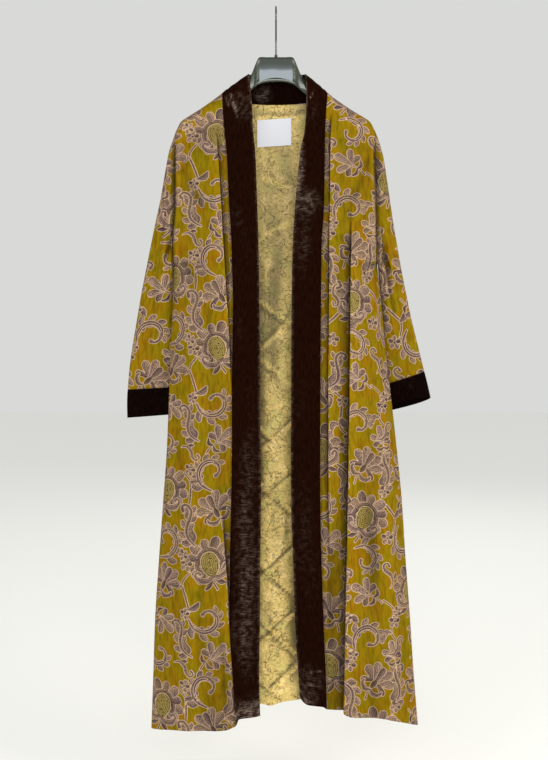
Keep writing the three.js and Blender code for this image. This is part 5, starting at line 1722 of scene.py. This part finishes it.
def makeHook():
    spec = hangerPiece
    reach = spec["crook"] + spec["wire"]
    path = [[0, -spec["stemBottom"]], [0, -(spec["stemBottom"] + spec["stemTop"]) / 2],
            [0, -spec["stemTop"]]]
    for k in range(12):
        angle = math.radians(lerp(-35, spec["tip"], k / 11))
        path.append([reach * math.cos(angle), -spec["crook"] + reach * math.sin(angle)])
    path = curveThrough(path, 9)
    along = np.gradient(path, axis=0)
    along /= np.linalg.norm(along, axis=1, keepdims=True)
    side = np.stack([-along[:, 1], along[:, 0]], -1)
    sides = spec["wireSides"]
    angle = np.arange(sides) / sides * 2 * np.pi
    # the tip is rounded off by closing rings
    radius = np.full(len(path), spec["wire"])
    radius[-3:] = spec["wire"] * np.array([0.95, 0.75, 0.3])
    rings = np.zeros((len(path), sides, 3))
    rings[..., 0] = radius[:, None] * np.sin(angle)
    rings[..., 1] = path[:, 0][:, None] + side[:, 0][:, None] * radius[:, None] * np.cos(angle)
    rings[..., 2] = path[:, 1][:, None] + side[:, 1][:, None] * radius[:, None] * np.cos(angle)
    mesh = meshFromQuads("hookWire", rings.reshape(-1, 3), tubeQuads(*rings.shape[:2]))
    mesh.materials.append(platedSteel)
    return linkObject("hookWire", mesh)


hangerBody = makeHangerBody()
hookWire = makeHook()
for node, finish in (("hanger_panel", frostedPanel), ("hanger_ball", platedSteel)):
    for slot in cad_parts[node].material_slots:
        slot.material = finish
print("hanger made")


# pieces on their body, and what they stand for

replaced = [
    (frontLeft["front"], "front_left", "printed_velvet"),
    (frontRight["front"], "front_right", "printed_velvet"),
    (frontLeft["band"], "band_left", "plush_band"), (frontRight["band"], "band_right", "plush_band"),
    (back, "back", "printed_velvet"), (neckBand, "band_neck", "plush_band"), (label, "label", "satin_label"),
    (sleeveLeft, "sleeve_left", "printed_velvet"), (sleeveRight, "sleeve_right", "printed_velvet"),
    (cuffLeft, "cuff_left", "plush_band"), (cuffRight, "cuff_right", "plush_band"),
    (hangerBody, "hanger_body", "smoked_plastic"), (hookWire, "hanger_hook", "plated_steel"),
]
for piece, node, finish in replaced:
    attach(piece, "root")
    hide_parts(node)
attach(labelStitches, "root")


# camera, light and floor

view = {
    "place": (-0.004, -2.0, -0.584), "lens": 47.37, "shiftY": -80 / 760,
    "floorDrop": 1.6, "floorSize": 14.0, "world": "#e8e9e6", "worldStrength": 0.86,
}

cameraData = bpy.data.cameras.new("viewCamera")
cameraData.lens = view["lens"]
cameraData.sensor_width = 36.0
cameraData.shift_y = view["shiftY"]
camera = linkObject("viewCamera", cameraData)
camera.location = view["place"]
camera.rotation_euler = (math.pi / 2, 0, 0)
scene.camera = camera

world = bpy.data.worlds.new("paleStudio")
world.use_nodes = True
background = world.node_tree.nodes["Background"]
background.inputs["Color"].default_value = colour(view["world"])
background.inputs["Strength"].default_value = view["worldStrength"]
scene.world = world
scene.view_settings.view_transform = "Standard"

lights = {
    "keyLight": {"place": (-1.9, -2.2, 0.5), "size": 1.2, "power": 17, "tint": "#fffaf2"},
    "sideLight": {"place": (2.5, -1.5, 0.2), "size": 1.4, "power": 36, "tint": "#fff6e8"},
    "frontLight": {"place": (0.1, -3.2, -0.3), "size": 1.6, "power": 50, "tint": "#fffdf8"},
    "backLight": {"place": (0.6, 2.4, 0.8), "size": 2.4, "power": 14, "tint": "#ffffff"},
}
aim = Vector((0, 0, -0.7))
for name, spec in lights.items():
    data = bpy.data.lights.new(name, "AREA")
    data.size = spec["size"]
    data.energy = spec["power"]
    data.color = colour(spec["tint"])[:3]
    lamp = linkObject(name, data)
    lamp.location = spec["place"]
    lamp.rotation_euler = (aim - Vector(spec["place"])).to_track_quat("-Z", "Y").to_euler()

floorMaterial, floorTree, floorShader = newMaterial("paleFloor")
floorPlace = addNode(floorTree, "ShaderNodeTexCoord").outputs["Object"]
floorGrain = addNode(floorTree, "ShaderNodeTexNoise", {"Vector": floorPlace, "Scale": 60.0, "Detail": 3.0})
floorTone = addNode(floorTree, "ShaderNodeMix", {
    "Factor": floorGrain.outputs["Fac"], "A": colour("#f9f9f7"), "B": colour("#fbfbf9")},
    data_type="RGBA")
floorTree.links.new(floorTone.outputs["Result"], floorShader.inputs["Base Color"])
floorShader.inputs["Roughness"].default_value = 0.8
half = view["floorSize"] / 2
floorMesh = bpy.data.meshes.new("floor")
floorMesh.from_pydata([(-half, -half, 0), (half, -half, 0), (half, half, 0), (-half, half, 0)], [],
                      [(0, 1, 2, 3)])
floorMesh.transform(Matrix.Translation((0, 0, -view["floorDrop"])))
floorMesh.materials.append(floorMaterial)
floor = linkObject("floor", floorMesh)
print("camera, lights and floor set")
